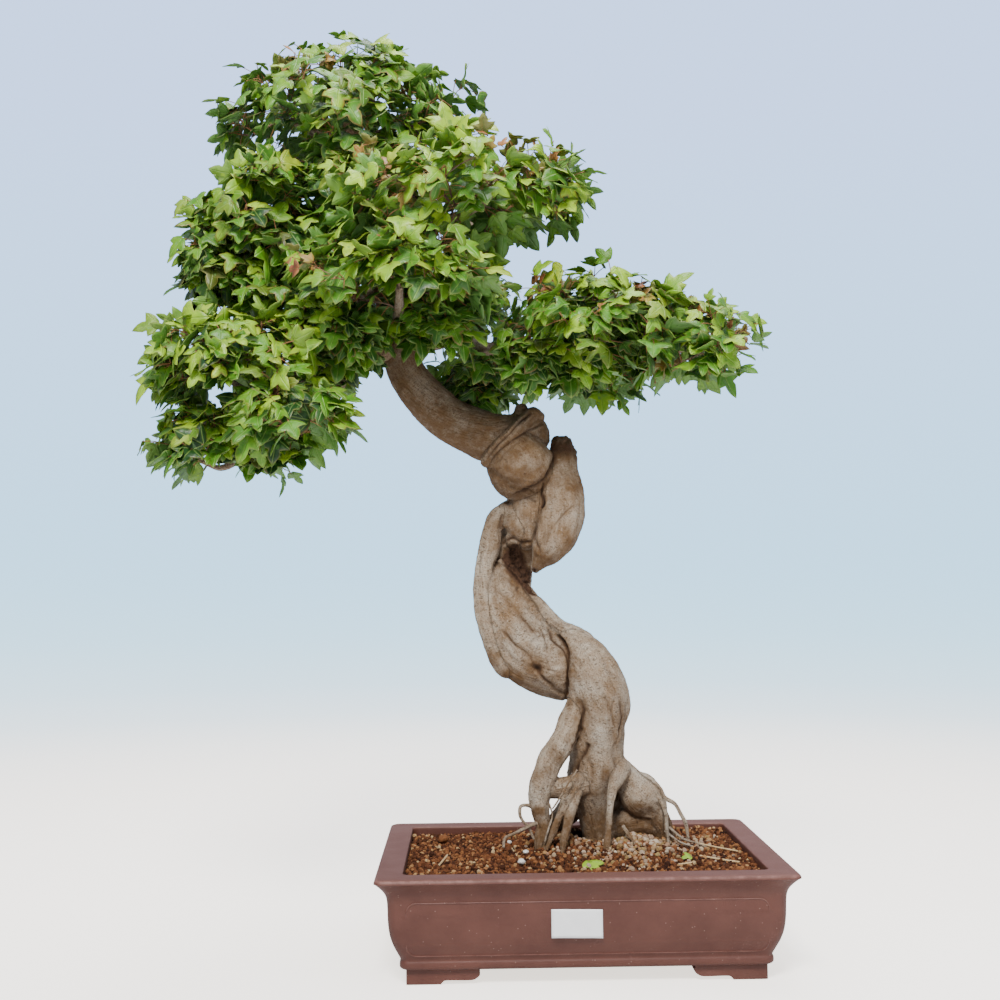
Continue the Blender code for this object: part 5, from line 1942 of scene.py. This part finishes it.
@dataclass
class Trunk:
    """The old trunk of fused limbs, its surface roots and its branches."""

    bark: Material
    voxel: float = 0.00145
    ease: int = 12
    span: int = 8
    twist: float = 7.0
    groove: float = 0.00055
    flute: float = 0.0009
    fine: float = 0.00030
    chunk: int = 6000

    def __post_init__(self) -> None:
        """Draws the limbs' middle lines and their ring axes."""
        self.noise = Noise(11)
        centres, axes, lengths, radii = [], [], [], []
        for stations in LIMBS.values():
            dense = through(stations, self.span)
            tangent, first, second = ring_axes(dense[:, :3], BACK)
            centres.append(dense[:, :3])
            axes.append(np.stack([first, second, tangent], axis=1))
            lengths.append(lengths_along(dense[:, :3]) + 0.37 * len(lengths))
            radii.append(dense[:, 3])
        joined = map(np.concatenate, (centres, axes, lengths, radii))
        self.centres, self.axes, self.lengths, self.radii = joined

    def flow(self, points: Points) -> Points:
        """Gives each point its place in the grain of the nearest limb.

        Args:
            points: Points on the surface.

        Returns:
            Two places across the limb, turned slowly round it, and one along it.
        """
        made = np.empty((len(points), 3))
        for start in range(0, len(points), self.chunk):
            part = points[start:start + self.chunk]
            offset = part[:, None] - self.centres[None]
            near = np.argmin(np.linalg.norm(offset, axis=2) - self.radii[None], axis=1)
            local = np.einsum("nk,nak->na", offset[np.arange(len(part)), near], self.axes[near])
            length = self.lengths[near] + local[:, 2]
            c, s = np.cos(self.twist * length), np.sin(self.twist * length)
            turned = (local[:, 0] * c - local[:, 1] * s, local[:, 0] * s + local[:, 1] * c, length)
            made[start:start + self.chunk] = np.stack(turned, axis=1)
        return made

    def core(self) -> tuple[Piece, Points, Points]:
        """Fuses the heavy limbs into one skin.

        Returns:
            The object, its points about the pot's centre, and its normals.
        """
        batch = Batch()
        for name, stations in LIMBS.items():
            dense = through(stations, self.span)
            share = 0.80 if name in ("middle", "column") else 1.0
            path, radii = with_round_ends(dense[:, :3], dense[:, 3])
            batch.add(tube(path, radii, 28, share, BACK))
        skin = batch.build("trunk_bark", self.bark)
        fuse = skin.modifiers.new("fuse", "REMESH")
        fuse.mode = "VOXEL"
        fuse.voxel_size = self.voxel
        ease = skin.modifiers.new("ease", "SMOOTH")
        ease.factor = 0.5
        ease.iterations = self.ease
        mesh = settled(skin)
        return skin, read_vertices(mesh, "co") - CENTRE, read_vertices(mesh, "normal")

    def carve(self, points: Points, normals: Points) -> tuple[Points, dict[str, Points]]:
        """Works out the surface detail.

        Args:
            points: Points on the smooth skin.
            normals: Their normals.

        Returns:
            How far each point moves out, and the values that the bark reads.
        """
        flow = self.flow(points)
        streak = self.noise.layered(flow * (190.0, 190.0, 26.0), 3)
        wide = self.noise.layered(flow * (75.0, 75.0, 9.0) + 5.0, 2)
        lumpy = self.noise.layered(points * 48.0 + 3.0, 2)
        pits = self.noise.layered(points * 330.0, 2)
        thick = np.clip(points[:, 2] / 0.6, 0, 1)
        offset = self.flute * (1 - np.abs(wide) * 2.0) * (1 - 0.7 * thick)
        offset += self.groove * streak * (1 - 0.6 * thick) + 0.0011 * lumpy + self.fine * pits
        # Painted shade in the deeper grooves of the bark, less higher up.
        crease = np.clip(-streak * 0.9 - 0.38, 0, 0.35) + np.clip(np.abs(wide) * 0.9 - 0.70, 0, 0.25)
        crease *= 1 - 0.6 * thick
        plan = points[:, (0, 2)]
        front = np.clip(-normals[:, 1] * 1.8 + 0.15, 0, 1)
        uneven = np.clip(0.72 + 0.6 * self.noise.at(points * 60.0 + 11.0), 0.1, 1.0)
        # Painted shade on faces that look down; the rest darkens the bark towards the soil, in lumpy patches
        # and on the higher limbs.
        stain = 0.95 * np.clip(-normals[:, 2] - 0.02, 0, 1) + np.clip((0.158 - points[:, 2]) / 0.030, 0, 1.1)
        stain += 0.5 * np.clip(lumpy * 1.4 - 0.35, 0, 1)
        stain += 0.85 * np.clip((points[:, 2] - 0.43) / 0.08, 0, 1)
        # Painted shade in and about the hollow.
        beside = np.linalg.norm((plan - HOLLOW_MIDDLE) / (0.024, 0.032), axis=1)
        stain += 1.2 * np.exp(-beside**4) * front
        stain += 0.30 * np.clip(0.25 - normals[:, 0] - normals[:, 1], 0, 1) * lumpy
        ragged = 1 + 0.35 * self.noise.at(points * 220.0)
        wobble = [self.noise.at(points * 95.0 + start) for start in (0.0, 31.0)]
        bent = plan + 0.0016 * np.stack(wobble, axis=1)
        for stroke in STROKES:
            gap = gap_to_run(bent, through(stroke.run, 5)) * ragged
            cut = np.exp(-(gap / stroke.width) ** 2) * uneven
            stain = np.maximum(stain, front * stroke.dark * np.exp(-(gap / (4.5 * stroke.width)) ** 2))
            lip = np.exp(-((gap - 2.1 * stroke.width) / stroke.width) ** 2)
            offset += front * stroke.depth * (0.28 * lip - cut)
            # Painted shade down the stroke's groove.
            crease = np.maximum(crease, front * cut * stroke.dark)
        for x, z, reach, height in SWELLINGS:
            out = np.hypot(plan[:, 0] - x, plan[:, 1] - z) / reach
            offset += front * height * np.exp(-out**2)
        outline = np.array(HOLLOW)
        gap = gap_to_run(plan, np.vstack([outline, outline[:1]]))
        deep = np.clip(0.35 + np.where(inside_outline(plan, outline), gap, -gap) / 0.004, 0, 1)
        # Painted shade: the hollow is carved in and painted dark, except on faces that look back.
        dead = deep * (normals[:, 1] < 0.4)
        offset -= 0.005 * dead * (1 + 0.8 * pits)
        # The cut stub on top of the front limb: rough, real dead wood.
        stub = np.clip((points[:, 2] - 0.530) / 0.012, 0, 1) * np.clip((points[:, 0] + 0.024) / 0.006, 0, 1)
        stub *= (points[:, 2] < 0.60)
        scar = np.exp(-(gap_to_run(plan, np.array(CREST_SCAR)) / 0.008) ** 2) * front
        offset += (0.0012 * stub + 0.0018 * scar) * (streak + pits)
        stain = np.maximum(stain, 0.55 * scar)
        dead = np.clip(dead + 0.80 * stub * (0.8 + 0.5 * lumpy), 0, 1)
        crease, stain = np.clip(crease, 0, 1), np.clip(stain, 0, 1)
        return offset, {"crease": crease, "dead": dead, "stain": stain, "flow": flow}

    def build_core(self) -> None:
        """Makes the trunk's carved skin."""
        skin, points, normals = self.core()
        offset, marks = self.carve(points, normals)
        moved = points + normals * offset[:, None] + CENTRE
        mesh = skin.data
        mesh.vertices.foreach_set("co", moved.astype(np.float32).ravel())
        for label, value in marks.items():
            keep_value(mesh, label, value)
        mesh.materials.clear()
        mesh.materials.append(self.bark)
        mesh.shade_smooth()
        mesh.update()
        install(skin, "bark", "trunk")

    def rods(self, name: str, runs: Any, sides: int, roughness: float, seed: int) -> None:
        """Makes limbs too thin for the fused skin.

        Args:
            name: The piece's name.
            runs: Their stations.
            sides: Points in each ring.
            roughness: Share of the radius that the surface wanders.
            seed: Start of the noise.
        """
        batch = Batch()
        for number, stations in enumerate(runs):
            dense = through(stations, self.span)
            wander = self.noise.layered(dense[:, :3] * 90.0 + seed + number, 2)
            dense[:, 3] *= 1 + roughness * wander
            shell = tube(dense[:, :3], dense[:, 3], sides)
            turn = np.tile(full_turn(sides), len(dense))
            around = np.repeat(dense[:, 3], sides)
            run = lengths_along(dense[:, :3])
            along = np.repeat(run, sides) + number
            flow = np.stack([np.cos(turn) * around, np.sin(turn) * around, along], axis=1)
            bumps = self.noise.layered(flow * (260.0, 260.0, 60.0), 2)
            middle = np.repeat(dense[:, :3], sides, axis=0)
            shell.points = middle + (shell.points - middle) * (1 + roughness * 0.6 * bumps[:, None])
            # Painted shade where the bumps sink in.
            batch.add(shell, flow=flow, crease=np.clip(-bumps * 0.7 - 0.2, 0, 0.5), dead=0.0,
                      stain=np.clip(0.35 + 0.5 * bumps, 0, 1))
        install(batch.build(name, self.bark), "bark", "trunk")

    def build(self) -> None:
        """Makes the trunk, the branches and the thin roots."""
        self.build_core()
        self.rods("branches", BRANCHES.values(), 12, 0.16, 20)
        self.rods("surface_roots", FINE_ROOTS, 9, 0.14, 60)

    @staticmethod
    def twig_sources() -> tuple[Points, Points]:
        """Returns points on the branches that twigs may leave from, and the branches' directions there."""
        places, directions = [], []
        for stations in (*BRANCHES.values(), LIMBS["upper"][8:]):
            dense = through(stations, 5)[:, :3]
            kept = slice(len(dense) // 4, None)
            places.append(dense[kept])
            directions.append(unit(np.gradient(dense, axis=0))[kept])
        return np.concatenate(places), np.concatenate(directions)


# ---- studio


@dataclass
class Studio:
    """Pale floor, soft lights and the camera, all set about the pot."""

    floor: Material
    camera_place: Triple = (-0.1125, -1.4924, 0.4043)
    yaw: float = -0.0223
    pitch: float = 0.0547
    roll: float = -0.0102
    lens: float = 48.91
    sensor: float = 36.0
    floor_radius: float = 2.6
    sweep: float = 2.4
    wall_height: float = 6.0
    floor_gap: float = 0.0002
    sides: int = 96
    ambient: float = 0.62
    backdrop_high: Colour = (.54, .80, 1.30)

    def camera(self) -> None:
        """Makes the camera and points it."""
        data = bpy.data.cameras.new("view")
        data.lens = self.lens
        data.sensor_width = self.sensor
        data.clip_end = 50.0
        item = in_scene("view", data)
        item.matrix_world = Matrix.Translation(CENTRE + self.camera_place)
        for angle, axis in ((self.yaw, "Z"), (math.pi / 2 + self.pitch, "X"), (self.roll, "Z")):
            item.matrix_world = item.matrix_world @ Matrix.Rotation(angle, 4, axis)
        bpy.context.scene.camera = item

    def light(self, name: str, place: Triple, power: float, size: float,
              colour: Colour) -> None:
        """Hangs one soft light that faces the tree.

        Args:
            name: Its name.
            place: Where it hangs, about the pot.
            power: Its power in watts.
            size: Its side in metres.
            colour: Its colour.
        """
        data = bpy.data.lights.new(name, "AREA")
        data.energy = power
        data.size = size
        data.color = colour
        item = in_scene(name, data)
        item.location = CENTRE + place
        aim = Vector(CENTRE + (-0.10, 0.0, 0.45)) - item.location
        item.rotation_euler = aim.to_track_quat("-Z", "Y").to_euler()

    def world(self) -> None:
        """Sets the pale surroundings, weaker as a light than as what is seen."""
        world = bpy.data.worlds.new("studio")
        world.use_nodes = True
        graph = Graph(world.node_tree)
        world.node_tree.nodes.clear()
        seen = graph.node("LightPath").outputs["Is Camera Ray"]
        strength = graph.stretch(seen, 0.0, 1.0, self.ambient, 1.5)
        ground = graph.node("Background", {"Color": self.backdrop_high, "Strength": strength})
        out = graph.node("OutputWorld")
        graph.feed(out.inputs["Surface"], ground.outputs[0])
        bpy.context.scene.world = world

    def bowl(self) -> None:
        """Makes the floor, which rises far behind into a pale wall on every side."""
        flat = np.linspace(0.3, self.floor_radius, 6)
        turn_up = np.radians(np.linspace(0, 90, 9)[1:])
        section = [(0.02, 0.0), *((r, 0.0) for r in flat)]
        section += [(self.floor_radius + self.sweep * math.sin(a), self.sweep * (1 - math.cos(a)))
                    for a in turn_up]
        section.append((self.floor_radius + self.sweep, self.wall_height))
        turn = full_turn(self.sides)
        level = np.ones(self.sides)
        rings = np.array([np.stack([r * np.cos(turn), r * np.sin(turn), level * (z - self.floor_gap)], axis=1)
                          for r, z in section[::-1]])
        bowl = Batch()
        bowl.add(grid_shell(rings, cap_start=False))
        bowl.build("studio_floor", self.floor)

    def build(self) -> None:
        """Makes the studio."""
        self.camera()
        self.light("key", (-0.4, -1.9, 2.3), 116.0, 0.7, (1.0, 0.975, 0.94))
        self.light("fill", (1.9, -1.7, 1.3), 18.0, 1.4, (0.95, 0.98, 1.0))
        self.light("top", (0.1, 0.5, 2.9), 56.0, 1.4, (1.0, 1.0, 1.0))
        self.world()
        self.bowl()


FINISHES = (
    Clay("clay"), Bark("bark"), Leaf("leaf"), Backdrop("floor"),
    Twig("twig", (.115, .068, .043), (.22, .150, .100), 140.0, (0.62, 0.80), 0.0004, contrast=2.5, finer=5.0,
         specular=0.3),
    Plain("soil_bed", (.030, .012, .006), (.075, .030, .014), 420.0, (0.97, 0.9), 0.0008),
    Plain("straw", (.42, .27, .12), (.66, .48, .25), 260.0, (0.75, 0.6), 0.0003),
    Plain("label_paper", (.80, .80, .79), (.88, .88, .87), 60.0, (0.42, 0.36), 0.00005),
    Plain("screen_plastic", (.022, .05, .03), (.04, .08, .05), 200.0, (0.6, 0.45), 0.0001),
    Plain("clip_wire", (.33, .20, .12), (.50, .34, .22), 300.0, (0.45, 0.3), 0.0001, 1.0),
    grit("clay_grains", (.026, .010, .006), (.075, .026, .011), (.165, .060, .024), (.270, .110, .040),
         (.430, .240, .100), (.50, .36, .19)),
    grit("pumice", (.50, .38, .25), (.34, .23, .12), (.40, .22, .13), (.48, .37, .28), (.22, .12, .06),
         (.58, .48, .36), (.28, .12, .05), (.38, .27, .11), (.15, .06, .03)),
    grit("white_grit", (.70, .68, .62), (.80, .78, .72), (.66, .62, .55)),
)


def main() -> None:
    """Builds everything in order."""
    logging.basicConfig(level=logging.INFO, format="%(name)s %(message)s")
    effects = {Effect.MOTTLE: mottle_group(), Effect.SPECKS: specks_group(), Effect.GRAIN: grain_group()}
    made = {finish.name: finish.make(effects) for finish in FINISHES}
    Studio(made["floor"]).build()
    Pot(made["clay"]).build()
    SoilBed(made, np.random.default_rng(5)).build()
    Trunk(made["bark"]).build()
    Foliage(made["leaf"], made["twig"], *Trunk.twig_sources()).build()
    Litter(made).build()


if __name__ == "__main__":
    main()
